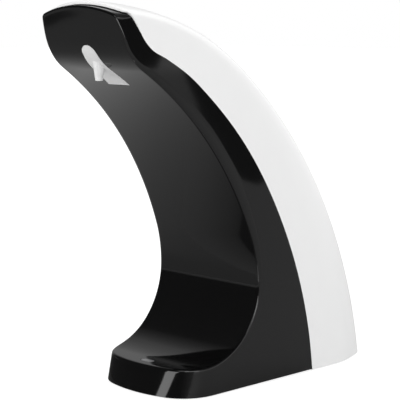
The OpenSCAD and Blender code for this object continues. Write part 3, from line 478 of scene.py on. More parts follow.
def face_lens(f):
    """Row of the face between the sweep's first line and the rim."""
    base = np.column_stack([middle[0][:, 0], np.zeros(ACROSS)])
    return on_face(base * (1 - f) + face_inset(head_edge) * f, 0.0)


def face_fillet(k):
    """Row of the rounded edge of the face."""
    return on_face(face_inset(head_edge * (1 - math.sin(turn[k]))), head_edge * (1 - math.cos(turn[k])))


def cap_wall(j):
    """Row of the cap between the face and the white rim."""
    f = j / WALL_ROWS
    rim = np.column_stack([cap_rim[:, 0], seam_points[0] + cap_rim[:, 1:] * RIM_UP])
    return on_face(face_rim, head_edge) * (1 - f) + rim * f


face = closed_end(FACE_ROWS, face_lens, face_fillet, cap_wall, sides[0])
print("head's cap reaches", face[..., 2].max().round(2), "mm")

# %% [markdown]
# The three grids now become one skin. Its normals have to point out of the body, and the largest face
# tells which way that is: away from a point a little behind it. The skin is as thick as its smallest
# rounded edge, because a thicker one would fold over itself inside that edge.

# %% Build the front shell
FRONT_SKIN, SHARP = EDGE_MIN, 40.0


def behind_front(c):
    """A point inside the body, behind the front skin."""
    return Vector((0.0, c.y + 0.004, min(max(c.z, 0.006), 0.205)))


front_shell = settle(skin("front_cover", [sweep, nose, face], FRONT_SKIN, behind_front))
smooth(front_shell, SHARP)
print("front shell", len(front_shell.data.polygons), "faces")

# %% [markdown]
# ## The rear shell
# The white shell is a simpler grid. Each row is a plane section: it starts on the seam, climbs the
# side, rolls over the edge and ends on the crown's middle line, and its mirror image follows.

# %% Rows of the rear shell
ROWS, HALF = 130, 56
REAR_FOOT_Z = 0.7
RIM_R = 2.4
search = np.linspace(0, 30, 900)
rim_height = np.interp(0.0, -back_depth(seam[0] + search[:, None] * RIM_UP), search)
rim_top = seam[0] + RIM_UP * rim_height
top_a = math.degrees(math.atan2(*(rim_top - BACK_C)[::-1]))
turn_a = math.degrees(math.atan2(TURN[1], TURN[0]))
foot_a = math.degrees(math.asin((REAR_FOOT_Z - REAR_C[1]) / REAR_R))
upper_back, lower_back = arc(BACK_C, BACK_R, top_a, turn_a, 300), arc(REAR_C, REAR_R, turn_a, foot_a, 300)
back_line = np.concatenate([upper_back, lower_back[1:]])
back_len = float(np.linalg.norm(np.diff(back_line, axis=0), axis=1).sum())
rim_steps = RIM_R * np.array([0.0, 0.06, 0.2, 0.42, 0.7, 1.0])
row_f = np.concatenate([rim_steps / back_len, np.linspace(RIM_R / back_len, 1.0, ROWS)[1:]])
ease = 1.0 - (1.0 - np.linspace(0.0, 1.0, 500)) ** 2


def rear_section(q, b):
    """Right half of a row, from a point on the seam to one on the back's middle line."""
    line = q + ease[:, None] * (b - q)
    x = half_width(line)
    x[-1] = 0.0
    return along(np.column_stack([x, line]), np.linspace(0.0, 1.0, HALF))


right = np.array([rear_section(q, b) for q, b in zip(along(seam, row_f), along(back_line, row_f))])
rear_grid = np.concatenate([right * mirror, right[:, -2::-1]], axis=1)
print("rear grid", rear_grid.shape)

# %% [markdown]
# Where the white shell meets the head, its rim is rounded. A bevel would round the whole seam as well, so
# the first rows are moved inwards along the surface's normal instead, on a flattened quarter circle.

# %% Round the rim and close the shell
REAR_SKIN, RIM_SINK = 1.6, 0.8
REAR_MIDDLE = np.array([0.0, -40.0, 90.0])
normal = np.cross(np.gradient(rear_grid, axis=1), np.gradient(rear_grid, axis=0))
normal /= np.linalg.norm(normal, axis=2, keepdims=True)
normal *= np.sign(np.sum(normal * (rear_grid - REAR_MIDDLE), axis=2, keepdims=True))
for i, step in enumerate(rim_steps):
    quarter = RIM_R - math.sqrt(RIM_R**2 - (RIM_R - step) ** 2)
    rear_grid[i] -= normal[len(rim_steps)] * RIM_SINK * quarter


def behind_rear(c):
    """A point inside the body, the same for every place c on the shell."""
    return Vector(REAR_MIDDLE * MM)


rear_shell = skin("rear_cover", [rear_grid], REAR_SKIN, behind_rear)
print("rear shell rim drops", round(RIM_SINK * RIM_R, 2), "mm")

# %% [markdown]
# ## Openings
# The nozzle, the sensor window, the fill lid and the two buttons sit in openings. Cutter solids in the
# shape of the pieces, grown by their gaps, are taken away with a boolean, as a mould would leave them
# out. A boolean can leave points a hair apart, so the front shell is mended after it.

# %% Cutter solids
def arc_matrix(c, angle):
    """Frame whose Z axis leaves an arc's centre at an angle, in metres."""
    place = Matrix.Translation((0.0, c[0] * MM, c[1] * MM))
    return place @ Matrix.Rotation(math.radians(angle - 90.0), 4, "X")


def prism(name, outline, z0, z1, matrix):
    """A solid from a flat outline in millimetres."""
    bm = bmesh.new()
    base = bm.faces.new([bm.verts.new((x * MM, y * MM, z0 * MM)) for x, y in outline])
    up = bmesh.ops.extrude_face_region(bm, geom=[base])["geom"]
    raised = [v for v in up if isinstance(v, bmesh.types.BMVert)]
    bmesh.ops.translate(bm, verts=raised, vec=(0, 0, (z1 - z0) * MM))
    bmesh.ops.recalc_face_normals(bm, faces=bm.faces)
    mesh = bpy.data.meshes.new(name)
    bm.to_mesh(mesh)
    bm.free()
    mesh.transform(matrix)
    obj = bpy.data.objects.new(name, mesh)
    scene.collection.objects.link(obj)
    return obj


def rounded(w, y0, y1, r, n=10):
    """Outline of a rectangle of half width w with round corners."""
    corners = ((w - r, y1 - r, 0), (r - w, y1 - r, 90), (r - w, y0 + r, 180), (w - r, y0 + r, 270))
    return np.concatenate([arc((cx, cy), r, a, a + 90, n) for cx, cy, a in corners])


print("cutter solids ready")

# %% Boolean helpers
def combine(obj, others, operation):
    """Applies a boolean with each of the other solids and deletes them."""
    for other in others:
        step = obj.modifiers.new("opening", "BOOLEAN")
        step.operation = operation
        step.solver = "EXACT"
        step.object = other
    settle(obj)
    for other in others:
        bpy.data.objects.remove(other)
    smooth(obj, SHARP)


def mend(obj):
    """Welds points that a boolean left a hair apart and fills what stays open."""
    bm = bmesh.new()
    bm.from_mesh(obj.data)
    bmesh.ops.remove_doubles(bm, verts=bm.verts, dist=4e-6)
    bmesh.ops.dissolve_degenerate(bm, edges=bm.edges, dist=1e-6)
    bmesh.ops.holes_fill(bm, edges=[e for e in bm.edges if e.is_boundary])
    print(obj.name, "open edges", sum(not e.is_manifold for e in bm.edges))
    bm.to_mesh(obj.data)
    bm.free()


print("boolean helpers ready")

# %% Openings of the front shell
GAP = 0.3
INSERT_AT, INSERT_TURN = HEAD_C + [-19.4, -24.3], 128.0
TONGUE_Y, TONGUE_R, TONGUE_HALF, TONGUE_END = 9.0, 5.5, 8.3, -17.5
WINDOW_AT, WINDOW_HALF, WINDOW_TALL, WINDOW_R = np.array([-55.6, 0.0]), 4.5, 2.2, 2.49
wide, low = TONGUE_HALF + GAP, TONGUE_END - GAP
tongue = np.concatenate([arc((0.0, TONGUE_Y), TONGUE_R + GAP, 0.0, 180.0, 40), [(-wide, low), (wide, low)]])
window = rounded(WINDOW_HALF + GAP, -WINDOW_TALL - GAP, WINDOW_TALL + GAP, WINDOW_R)
cutters = [prism("nozzle cutter", tongue, -20, 20, arc_matrix(INSERT_AT, INSERT_TURN + 90.0)),
           prism("window cutter", window, 10, 22, arc_matrix(WINDOW_AT, 90.0))]
combine(front_shell, cutters, "DIFFERENCE")
mend(front_shell)
print("front shell", len(front_shell.data.polygons), "faces")

# %% [markdown]
# The back has the fill opening and two button holes. Two small ears beside the fill opening carry the
# lid's pin, and a union joins them to the shell, as if they were moulded with it.

# %% Openings of the rear shell
LID_A, LID_HALF, LID_LOW, LID_HIGH, LID_R = 45.8, 16.4, -18.4, 21.24, 4.4
KEY_A, KEY_Y, KEY_R = 72.7, 8.0, 4.8
CUT_IN, CUT_OUT = 8, 6
lid_frame, key_frame = arc_matrix(REAR_C, LID_A), arc_matrix(BACK_C, KEY_A)
lid_hole = rounded(LID_HALF, LID_LOW, LID_HIGH, LID_R)
cutters = [prism("lid cutter", lid_hole, REAR_R - CUT_IN, REAR_R + CUT_OUT, lid_frame)]
for y in (-KEY_Y, KEY_Y):
    ring = arc((0.0, y), KEY_R, 0, 354, 60)
    cutters.append(prism("button cutter", ring, BACK_R - CUT_IN, BACK_R + CUT_OUT, key_frame))
combine(rear_shell, cutters, "DIFFERENCE")
print("rear shell", len(rear_shell.data.polygons), "faces")

# %% Ears of the lid's hinge
EAR_R, EAR_TALL, EAR_WIDE = 2.6, 2.2, 3.9
PIN_Y, PIN_DEPTH = 16.5, 3.64
pin_z = math.sqrt(REAR_R**2 - PIN_Y**2) - PIN_DEPTH
ear_top = [(-pin_z - EAR_TALL, PIN_Y + EAR_R), (-pin_z - EAR_TALL, PIN_Y - EAR_R)]
ear = np.concatenate([arc((-pin_z, PIN_Y), EAR_R, -90.0, 90.0, 24), ear_top])
turned = lid_frame @ Matrix.Rotation(math.radians(90.0), 4, "Y")
ears = [prism("hinge ear", ear, x, x + EAR_WIDE, turned) for x in (16.5, -20.4)]
combine(rear_shell, ears, "UNION")
print("rear shell", len(rear_shell.data.polygons), "faces")

# %% [markdown]
# ## Materials
# Every finish is a small node tree on object coordinates, so it stays put when a piece moves. A noise
# texture shifts colour and roughness a little, because no moulding is perfectly even. An image could do
# this too, but it needs an unwrapped surface and comes from a file.

# %% Material helper
def finish(name, color, rough, spread=0.03, scale=400.0, metal=0.0, bump=0.0, **extra):
    """A finish whose colour and roughness vary by a share, spread, over a noise of a scale."""
    mat = bpy.data.materials.new(name)
    mat.use_nodes = True
    tree = mat.node_tree
    shader = tree.nodes["Principled BSDF"]
    coords = tree.nodes.new("ShaderNodeTexCoord")
    noise = tree.nodes.new("ShaderNodeTexNoise")
    noise.inputs["Scale"].default_value = scale
    noise.inputs["Detail"].default_value = 3.0
    tree.links.new(coords.outputs["Object"], noise.inputs["Vector"])
    tint = tree.nodes.new("ShaderNodeMix")
    tint.data_type = "RGBA"
    dark = [max(0.0, c * (1 - spread)) for c in color]
    light = [min(1.0, c * (1 + spread)) for c in color]
    # The mix node has sockets of the same name for numbers, so its colours are picked by their index.
    tint.inputs[6].default_value = (*dark, 1.0)
    tint.inputs[7].default_value = (*light, 1.0)
    tree.links.new(noise.outputs["Fac"], tint.inputs[0])
    tree.links.new(tint.outputs[2], shader.inputs["Base Color"])
    level = tree.nodes.new("ShaderNodeMapRange")
    level.inputs["To Min"].default_value = max(0.01, rough * (1 - 2 * spread))
    level.inputs["To Max"].default_value = min(1.0, rough * (1 + 2 * spread))
    tree.links.new(noise.outputs["Fac"], level.inputs["Value"])
    tree.links.new(level.outputs["Result"], shader.inputs["Roughness"])
    shader.inputs["Metallic"].default_value = metal
    for key, value in extra.items():
        shader.inputs[key.replace("_", " ")].default_value = value
    if bump:
        relief = tree.nodes.new("ShaderNodeBump")
        relief.inputs["Strength"].default_value = bump
        relief.inputs["Distance"].default_value = 0.0002
        tree.links.new(noise.outputs["Fac"], relief.inputs["Height"])
        tree.links.new(relief.outputs["Normal"], shader.inputs["Normal"])
    return mat


print("material helper ready")

# %% [markdown]
# Each finish is named for the slot that the record gives to a piece. The two that are seen most are the
# polished black of the front, almost without colour of its own, and the white satin of the back.

# %% Finishes
looks = {
    "gloss_black": finish("gloss black", (0.0025, 0.0025, 0.0026), 0.07, 0.1, 60.0),
    "white_satin": finish("white satin", (0.88, 0.88, 0.88), 0.34, 0.008, 90.0),
    "dark_plastic": finish("dark plastic", (0.03, 0.03, 0.033), 0.5, 0.1, 900.0, bump=0.2),
    "foot_rubber": finish("foot rubber", (0.02, 0.02, 0.02), 0.8, 0.1, 1200.0, bump=0.2),
    "seal_rubber": finish("seal rubber", (0.5, 0.52, 0.53), 0.6, 0.05, 900.0),
    "steel": finish("steel", (0.62, 0.63, 0.65), 0.28, 0.06, 700.0, metal=1.0),
    "pale_plastic": finish("pale plastic", (0.9, 0.9, 0.9), 0.3, 0.02, 200.0),
    "clear_tube": finish("clear tube", (0.8, 0.82, 0.8), 0.25, 0.03, 300.0, Transmission_Weight=0.4),
    "tank_plastic": finish("tank plastic", (0.82, 0.85, 0.83), 0.35, 0.02, 200.0, Transmission_Weight=0.2),
    "circuit_board": finish("circuit board", (0.02, 0.16, 0.06), 0.4, 0.2, 800.0),
    "chip_black": finish("chip black", (0.02, 0.02, 0.022), 0.5, 0.1, 900.0),
    "sensor_window": finish("sensor window", (0.16, 0.16, 0.165), 0.12, 0.03, 300.0),
    "gear_plastic": finish("gear plastic", (0.75, 0.7, 0.56), 0.4, 0.04, 500.0),
    "pump_plastic": finish("pump plastic", (0.5, 0.51, 0.5), 0.45, 0.05, 500.0),
    "bracket_metal": finish("bracket metal", (0.09, 0.095, 0.1), 0.4, 0.08, 900.0, bump=0.1),
    "cell_jacket": finish("cell jacket", (0.1, 0.16, 0.26), 0.25, 0.06, 300.0),
    "contact_metal": finish("contact metal", (0.7, 0.6, 0.35), 0.25, 0.05, 600.0, metal=1.0),
}
print("finishes", len(looks))

# %% [markdown]
# ## Dress and place the pieces
# Most pieces keep their CAD mesh, because its shape is right, and only take their finish. The two new
# shells stand in for the CAD shells: they ride on the housing and hide the solids that they replace.

# %% Dress the CAD pieces
slot_of = {s["node"]: s["material_slot"] for s in frame["record"]["subparts"]}
for name, obj in frame["nodes"].items():
    obj.data.materials.clear()
    obj.data.materials.append(looks[slot_of[name]])
print("dressed", len(slot_of), "CAD nodes")

# %% Place the shells
housing = "housing"
for obj, name in ((front_shell, "front_shell"), (rear_shell, "rear_shell")):
    obj.data.materials.clear()
    obj.data.materials.append(looks[slot_of[name]])
    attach(obj, housing)
    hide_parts(name)
print("shells ride the housing")

# %% [markdown]
# ## Pieces from Geometry Nodes
# Screws and feet repeat, and the two tubes follow a path, so node trees make them. Each tree has named
# inputs for its sizes. Small helpers add a node, do a sum, lift a part and close a tree, so that a tree
# reads like a list of steps.

# %% Node tree helpers
def new_tree(name, sizes):
    """A node tree whose inputs are a geometry, named sizes and a material."""
    tree = bpy.data.node_groups.new(name, "GeometryNodeTree")
    tree.interface.new_socket("Geometry", in_out="OUTPUT", socket_type="NodeSocketGeometry")
    tree.interface.new_socket("Geometry", in_out="INPUT", socket_type="NodeSocketGeometry")
    for key in sizes:
        tree.interface.new_socket(key, in_out="INPUT", socket_type="NodeSocketFloat")
    tree.interface.new_socket("Material", in_out="INPUT", socket_type="NodeSocketMaterial")
    return tree, tree.nodes.new("NodeGroupInput").outputs


def add(tree, kind, *linked, settings=None, **inputs):
    """Adds a node. Pairs of input and source are linked; other inputs are set by name."""
    new = tree.nodes.new(kind)
    for key, value in (settings or {}).items():
        setattr(new, key, value)
    for key, value in inputs.items():
        new.inputs[key.replace("_", " ")].default_value = value
    for key, source in linked:
        tree.links.new(source, new.inputs[key])
    return new.outputs[0]


def calc(tree, operation, a, b):
    """A sum, difference or product of a socket and a socket or number."""
    new = tree.nodes.new("ShaderNodeMath")
    new.operation = operation
    tree.links.new(a, new.inputs[0])
    if isinstance(b, float):
        new.inputs[1].default_value = b
    else:
        tree.links.new(b, new.inputs[1])
    return new.outputs[0]


def lift(tree, geometry, height):
    """Moves a geometry along its own axis."""
    move = add(tree, "ShaderNodeCombineXYZ", ("Z", height))
    return add(tree, "GeometryNodeTransform", ("Geometry", geometry), ("Translation", move))


def close_tree(tree, geometry, given):
    """Ends a tree with Realize Instances and Set Material."""
    real = add(tree, "GeometryNodeRealizeInstances", ("Geometry", geometry))
    done = add(tree, "GeometryNodeSetMaterial", ("Geometry", real), ("Material", given["Material"]))
    tree.links.new(done, tree.nodes.new("NodeGroupOutput").inputs["Geometry"])
    return tree


print("node tree helpers ready")

# %% [markdown]
# A screw is a short cylinder with a cross recess and a longer, thinner cylinder. Two bars are taken out
# of the head, at slightly different depths so that their floors never share a plane. The finished screw
# is put on every point and turned along the point's axis.

# %% Screw tree
SCREW_SIZES = ("Head radius", "Head height", "Shank radius", "Length", "Recess", "Recess width")
DEEP_BAR, SHALLOW_BAR, HEAD_COVERS = 0.9, 0.8, 0.6
TAKE_AWAY = {"operation": "DIFFERENCE"}


def screw_head(tree, given):
    """The head with its cross recess."""
    tall = given["Head height"]
    head = add(tree, "GeometryNodeMeshCylinder", ("Radius", given["Head radius"]), ("Depth", tall),
               Vertices=40)
    head = lift(tree, head, calc(tree, "MULTIPLY", tall, 0.5))
    for across, other, depth in (("X", "Y", DEEP_BAR), ("Y", "X", SHALLOW_BAR)):
        size = add(tree, "ShaderNodeCombineXYZ", (across, given["Recess"]), (other, given["Recess width"]),
                   ("Z", calc(tree, "MULTIPLY", tall, depth)))
        bar = add(tree, "GeometryNodeMeshCube", ("Size", size))
        head = add(tree, "GeometryNodeMeshBoolean", (0, head), (1, bar), settings=TAKE_AWAY)
    return head


def make_screw_tree():
    """Screws on points, each along the point's axis attribute."""
    tree, given = new_tree("screws", SCREW_SIZES)
    head = screw_head(tree, given)
    covered = calc(tree, "MULTIPLY", given["Head height"], HEAD_COVERS)
    free = calc(tree, "SUBTRACT", given["Length"], covered)
    shank = add(tree, "GeometryNodeMeshCylinder", ("Radius", given["Shank radius"]), ("Depth", free),
                Vertices=28)
    shank = lift(tree, shank, calc(tree, "ADD", covered, calc(tree, "MULTIPLY", free, 0.5)))
    screw = add(tree, "GeometryNodeJoinGeometry", (0, head), (0, shank))
    axis = add(tree, "GeometryNodeInputNamedAttribute", settings={"data_type": "FLOAT_VECTOR"}, Name="axis")
    facing = add(tree, "FunctionNodeAlignRotationToVector", ("Vector", axis), settings={"axis": "Z"})
    placed = add(tree, "GeometryNodeInstanceOnPoints", ("Points", given["Geometry"]), ("Instance", screw),
                 ("Rotation", facing), Scale=(MM, MM, MM))
    return close_tree(tree, placed, given)


screw_tree = make_screw_tree()
print("screw tree", len(screw_tree.nodes), "nodes")

# %% [markdown]
# A foot is a rubber pad whose lowest ring is drawn in, so that it doesn't end in a knife edge. A tube is
# a circle along a path, with a thinner one taken out. The bore runs past both ends of the tube, because
# a boolean of faces in one plane is unsafe. Trim Curve has two sockets called Start and two called End,
# so the two that take a length are picked by their index.

# %% Feet tree
FOOT_SLIM = 0.92


def make_feet_tree():
    """Round pads on points, drawn in at their lower edge."""
    tree, given = new_tree("feet", ("Radius", "Height", "Bevel"))
    pad = add(tree, "GeometryNodeMeshCylinder", ("Radius", given["Radius"]), ("Depth", given["Height"]),
              Vertices=64, Side_Segments=12)
    pad = lift(tree, pad, calc(tree, "MULTIPLY", given["Height"], 0.5))
    spot = tree.nodes.new("ShaderNodeSeparateXYZ")
    tree.links.new(add(tree, "GeometryNodeInputPosition"), spot.inputs[0])
    x, y, z = spot.outputs
    rise = add(tree, "ShaderNodeMapRange", ("Value", z), ("From Max", given["Bevel"]), To_Min=FOOT_SLIM)
    drawn = add(tree, "ShaderNodeCombineXYZ", ("X", calc(tree, "MULTIPLY", x, rise)),
                ("Y", calc(tree, "MULTIPLY", y, rise)), ("Z", z))
    foot = add(tree, "GeometryNodeSetPosition", ("Geometry", pad), ("Position", drawn))
    placed = add(tree, "GeometryNodeInstanceOnPoints", ("Points", given["Geometry"]), ("Instance", foot),
                 Scale=(MM, MM, MM))
    return close_tree(tree, placed, given)


feet_tree = make_feet_tree()
print("feet tree", len(feet_tree.nodes), "nodes")

# %% Tube tree
TRIM_START, TRIM_END = 4, 5


def make_tube_tree():
    """A tube with an open bore along a path."""
    tree, given = new_tree("tube", ("Radius", "Bore", "Overrun"))
    path = add(tree, "GeometryNodeMeshToCurve", ("Mesh", given["Geometry"]))
    length = add(tree, "GeometryNodeCurveLength", ("Curve", path))
    kept = add(tree, "GeometryNodeTrimCurve", ("Curve", path), (TRIM_START, given["Overrun"]),
               (TRIM_END, calc(tree, "SUBTRACT", length, given["Overrun"])), settings={"mode": "LENGTH"})
    pipes = []
    for line, radius in ((kept, "Radius"), (path, "Bore")):
        ring = add(tree, "GeometryNodeCurvePrimitiveCircle", ("Radius", given[radius]), Resolution=36)
        pipes.append(add(tree, "GeometryNodeCurveToMesh", ("Curve", line), ("Profile Curve", ring),
                         Fill_Caps=True))
    tube = add(tree, "GeometryNodeMeshBoolean", (0, pipes[0]), (1, pipes[1]), settings=TAKE_AWAY)
    return close_tree(tree, tube, given)


tube_tree = make_tube_tree()
print("tube tree", len(tube_tree.nodes), "nodes")

# %% [markdown]
# The places and sizes of the screws aren't typed in again: they are measured on the CAD pieces. A loose
# part of a mesh is one screw. The spread of its points gives its axis, and the radius at both ends tells
# the head from the tip. A sensor screw is a head alone, so its shank is taken as 0.6 of the head.

# %% Measure loose parts
def loose_parts(obj):
    """Points of each loose part of a mesh, in metres."""
    bm = bmesh.new()
    bm.from_mesh(obj.data)
    bmesh.ops.remove_doubles(bm, verts=bm.verts, dist=1e-6)
    seen, parts = set(), []
    for first in bm.verts:
        if first in seen:
            continue
        stack, part = [first], []
        seen.add(first)
        while stack:
            v = stack.pop()
            part.append(tuple(v.co))
            near = [e.other_vert(v) for e in v.link_edges]
            stack += [o for o in near if o not in seen]
            seen.update(near)
        parts.append(np.array(part))
    bm.free()
    return parts


def measure(part):
    """Middle of a screw's head, its axis from head to tip, and its sizes."""
    centre = part.mean(axis=0)
    values, vectors = np.linalg.eigh(np.cov((part - centre).T))
    odd = 0 if values[1] - values[0] > values[2] - values[1] else 2
    line = vectors[:, odd]
    run = (part - centre) @ line
    radius = np.linalg.norm(part - centre - run[:, None] * line, axis=1)
    ends = [radius[run < run.min() + 1e-6].max(), radius[run > run.max() - 1e-6].max()]
    if ends[1] > ends[0] + 1e-6 or (abs(ends[1] - ends[0]) < 1e-6 and line[2] > 0):
        line, run, ends = -line, -run, ends[::-1]
    tall = run[radius > 0.5 * sum(ends) - 1e-6].max() - run.min()
    slim = ends[1] if ends[1] < ends[0] - 1e-6 else 0.6 * ends[0]
    long = run.max() - run.min()
    sizes = {"Head radius": ends[0], "Head height": tall, "Shank radius": slim, "Length": long}
    return centre + run.min() * line, line, sizes


print("measuring ready")

# %% [markdown]
# A tree only makes geometry when a modifier holds it. The helper puts the points in a mesh, sets the
# inputs by their sockets' identifiers, and then keeps the result as a plain mesh that replaces the CAD
# node, because the export drops instances and live trees.

# %% Grow helper
GROWN_SHARP = 35.0


def grow(name, points, edges, tree, values, axes=None):
    """Makes a piece with a node tree on points and lets it replace the CAD node of that name."""
    mesh = bpy.data.meshes.new(name + "_made")
    mesh.from_pydata([tuple(p) for p in points], edges, [])
    if axes is not None:
        mesh.attributes.new("axis", "FLOAT_VECTOR", "POINT").data.foreach_set("vector", np.ravel(axes))
    obj = bpy.data.objects.new(name + "_made", mesh)
    scene.collection.objects.link(obj)
    step = obj.modifiers.new("nodes", "NODES")
    step.node_group = tree
    values = dict(values, Material=looks[slot_of[name]])
    for item in tree.interface.items_tree:
        if item.in_out == "INPUT" and item.name in values:
            step[item.identifier] = values[item.name]
    settle(obj)
    smooth(obj, GROWN_SHARP)
    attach(obj, housing)
    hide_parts(name)
    return obj


print("grow helper ready")

# %% Grow the screws and feet
SCREWS = ("shell_screws", "button_screws", "sensor_screws", "bracket_screws", "pump_screws", "board_screws",
          "door_screw")
RECESS_LONG, RECESS_WIDE = 1.3, 0.32
FOOT_R, FOOT_BEVEL = 5.0, 0.4
for name in SCREWS:
    found = [measure(part) for part in loose_parts(frame["nodes"][name])]
    size = {key: float(value) / MM for key, value in found[0][2].items()}
    size["Recess"] = RECESS_LONG * size["Head radius"]
    size["Recess width"] = RECESS_WIDE * size["Head radius"]
    made = grow(name, [f[0] for f in found], [], screw_tree, size, [f[1] for f in found])
    print(name, len(found), "screws", round(size["Length"], 2), "mm,", len(made.data.polygons), "faces")

feet_parts = loose_parts(frame["nodes"]["feet"])
feet_size = {"Radius": FOOT_R, "Height": float(np.ptp(feet_parts[0][:, 2])) / MM, "Bevel": FOOT_BEVEL}
feet_at = [(part[:, 0].mean(), part[:, 1].mean(), 0.0) for part in feet_parts]
grow("feet", feet_at, [], feet_tree, feet_size)
print("feet", len(feet_at), "pads,", round(feet_size["Height"], 2), "mm high")

# %% [markdown]
# The outlet tube climbs from the pump to the nozzle, 7 mm behind the hollow, so its path is made of the
# hollow's own arcs with larger radii. The inlet tube is one bend from the pump up to the tank.

# %% Grow the tubes
TUBE_R, TUBE_BORE, TUBE_OVERRUN = 3.0, 2.2, 1.0
TUBE_BACK, TUBE_TOP_A = 7.0, 53.13
DROP_C, DROP_R, DROP_A = (-0.7944, 30.2192), 6.0, 147.48
INLET_C, INLET_R = (38.0, 33.25), 9.0
outlet = [[(9.2, 24.2192), (8.2, 24.2192)],
          arc(DROP_C, DROP_R, 270.0, DROP_A, 20),
          arc(LOW_C, LOW_R + TUBE_BACK, DROP_A - 180.0, 0.0, 24)[1:],
          arc(MID_C, MID_R + TUBE_BACK, 0.0, MID_A, 20)[1:],
          arc(ARM_C, ARM_R + TUBE_BACK, MID_A, TUBE_TOP_A, 40)[1:],
          [(-72.7, 182.4)]]
inlet = [[(30.8, 24.25), (31.8, 24.25)], arc(INLET_C, INLET_R, -90.0, 0.0, 20), [(47.0, 45.7), (47.0, 46.7)]]
tube_size = {"Radius": TUBE_R * MM, "Bore": TUBE_BORE * MM, "Overrun": TUBE_OVERRUN * MM}
for name, pieces in (("outlet_tube", outlet), ("inlet_tube", inlet)):
    line = np.concatenate(pieces)
    points = np.column_stack([np.zeros(len(line)), line]) * MM
    edges = [(i, i + 1) for i in range(len(line) - 1)]
    tube = grow(name, points, edges, tube_tree, tube_size)
    print(name, len(tube.data.polygons), "faces")

# %% [markdown]
# ## Studio
# The photograph has a plain white surround. The world is white at a strength of 1, to the camera and as
# a soft light from all sides. The floor is a mid grey that adds a glow for the camera alone, so it looks
# almost white and still keeps a faint shadow.

# %% World
world = bpy.data.worlds.new("studio")
scene.world = world
world.use_nodes = True
surround = world.node_tree.nodes["Background"]
surround.inputs["Color"].default_value = (1.0, 1.0, 1.0, 1.0)
surround.inputs["Strength"].default_value = 1.0
print("world is white")

# %% Floor
FLOOR_HALF, FLOOR_Z = 6.0, -0.0002
FLOOR_GREY, FLOOR_GLOW = (0.38, 0.38, 0.38), (0.8, 0.8, 0.8, 1.0)
floor_mesh = bpy.data.meshes.new("floor")
floor_corners = [(FLOOR_HALF * x, FLOOR_HALF * y, FLOOR_Z) for x, y in ((-1, -1), (1, -1), (1, 1), (-1, 1))]
floor_mesh.from_pydata(floor_corners, [], [(0, 1, 2, 3)])
floor = bpy.data.objects.new("floor", floor_mesh)
scene.collection.objects.link(floor)
floor_look = finish("floor", FLOOR_GREY, 0.6, 0.005, 3.0)
floor_mesh.materials.append(floor_look)
tree = floor_look.node_tree
rays = tree.nodes.new("ShaderNodeLightPath")
glow = tree.nodes.new("ShaderNodeEmission")
glow.inputs["Color"].default_value = FLOOR_GLOW
total = tree.nodes.new("ShaderNodeAddShader")
tree.links.new(rays.outputs["Is Camera Ray"], glow.inputs["Strength"])
tree.links.new(tree.nodes["Principled BSDF"].outputs["BSDF"], total.inputs[0])
tree.links.new(glow.outputs["Emission"], total.inputs[1])
tree.links.new(total.outputs["Shader"], tree.nodes["Material Output"].inputs["Surface"])
print("floor set")

# %% [markdown]
# ## Cards
# A polished black surface shows only what it mirrors, so a product photographer surrounds it with cards.
# These cards glow at a level that can change along one axis. They are seen in reflections alone and cast
# no shadow, so they draw on the black and hardly touch the white shell and the floor.

# %% Glow of a card
def even(level):
    """Levels of a card that is the same all over."""
    return [(0.0, level), (1.0, level)]


def shade_of(name, levels, axis, span, strength):
    """A glow whose level follows stops along an axis, between two places in metres."""
    mat = bpy.data.materials.new(name)
    mat.use_nodes = True
    tree = mat.node_tree
    tree.nodes.clear()
    place = tree.nodes.new("ShaderNodeTexCoord")
    split = tree.nodes.new("ShaderNodeSeparateXYZ")
    part_way = tree.nodes.new("ShaderNodeMapRange")
    part_way.inputs["From Min"].default_value = span[0]
    part_way.inputs["From Max"].default_value = span[1]
    ramp = tree.nodes.new("ShaderNodeValToRGB")
    stops = ramp.color_ramp.elements
    while len(stops) < len(levels):
        stops.new(0.5)
    for stop, (at, level) in zip(stops, levels):
        stop.position = at
        stop.color = (level, level, level, 1.0)
    glow = tree.nodes.new("ShaderNodeEmission")
    glow.inputs["Strength"].default_value = strength
    end = tree.nodes.new("ShaderNodeOutputMaterial")
    tree.links.new(place.outputs["Object"], split.inputs["Vector"])
    tree.links.new(split.outputs[axis], part_way.inputs["Value"])
    tree.links.new(part_way.outputs["Result"], ramp.inputs["Fac"])
    tree.links.new(ramp.outputs["Color"], glow.inputs["Color"])
    tree.links.new(glow.outputs["Emission"], end.inputs["Surface"])
    return mat, split, glow, end


def fade_out(mat, split, glow, end, fade):
    """Lets a card fade to nothing along Y, from the second to the first place of fade."""
    tree = mat.node_tree
    rise = tree.nodes.new("ShaderNodeMapRange")
    rise.inputs["From Min"].default_value = fade[0]
    rise.inputs["From Max"].default_value = fade[1]
    rise.interpolation_type = "SMOOTHSTEP"
    clear = tree.nodes.new("ShaderNodeBsdfTransparent")
    blend = tree.nodes.new("ShaderNodeMixShader")
    tree.links.new(split.outputs["Y"], rise.inputs["Value"])
    tree.links.new(rise.outputs["Result"], blend.inputs["Fac"])
    tree.links.new(clear.outputs["BSDF"], blend.inputs[1])
    tree.links.new(glow.outputs["Emission"], blend.inputs[2])
    tree.links.new(blend.outputs["Shader"], end.inputs["Surface"])


print("glow helpers ready")

# %% Card helpers
def card(name, corners, levels, axis=0, span=(0.0, 1.0), fade=None, strength=1.0):
    """A card with corners in metres, seen in reflections only."""
    mesh = bpy.data.meshes.new(name)
    mesh.from_pydata(corners, [], [tuple(range(len(corners)))])
    obj = bpy.data.objects.new(name, mesh)
    scene.collection.objects.link(obj)
    mat, *nodes = shade_of(name, levels, axis, span, strength)
    if fade:
        fade_out(mat, *nodes, fade)
    mesh.materials.append(mat)
    obj.visible_camera = False
    obj.visible_diffuse = False
    obj.visible_shadow = False


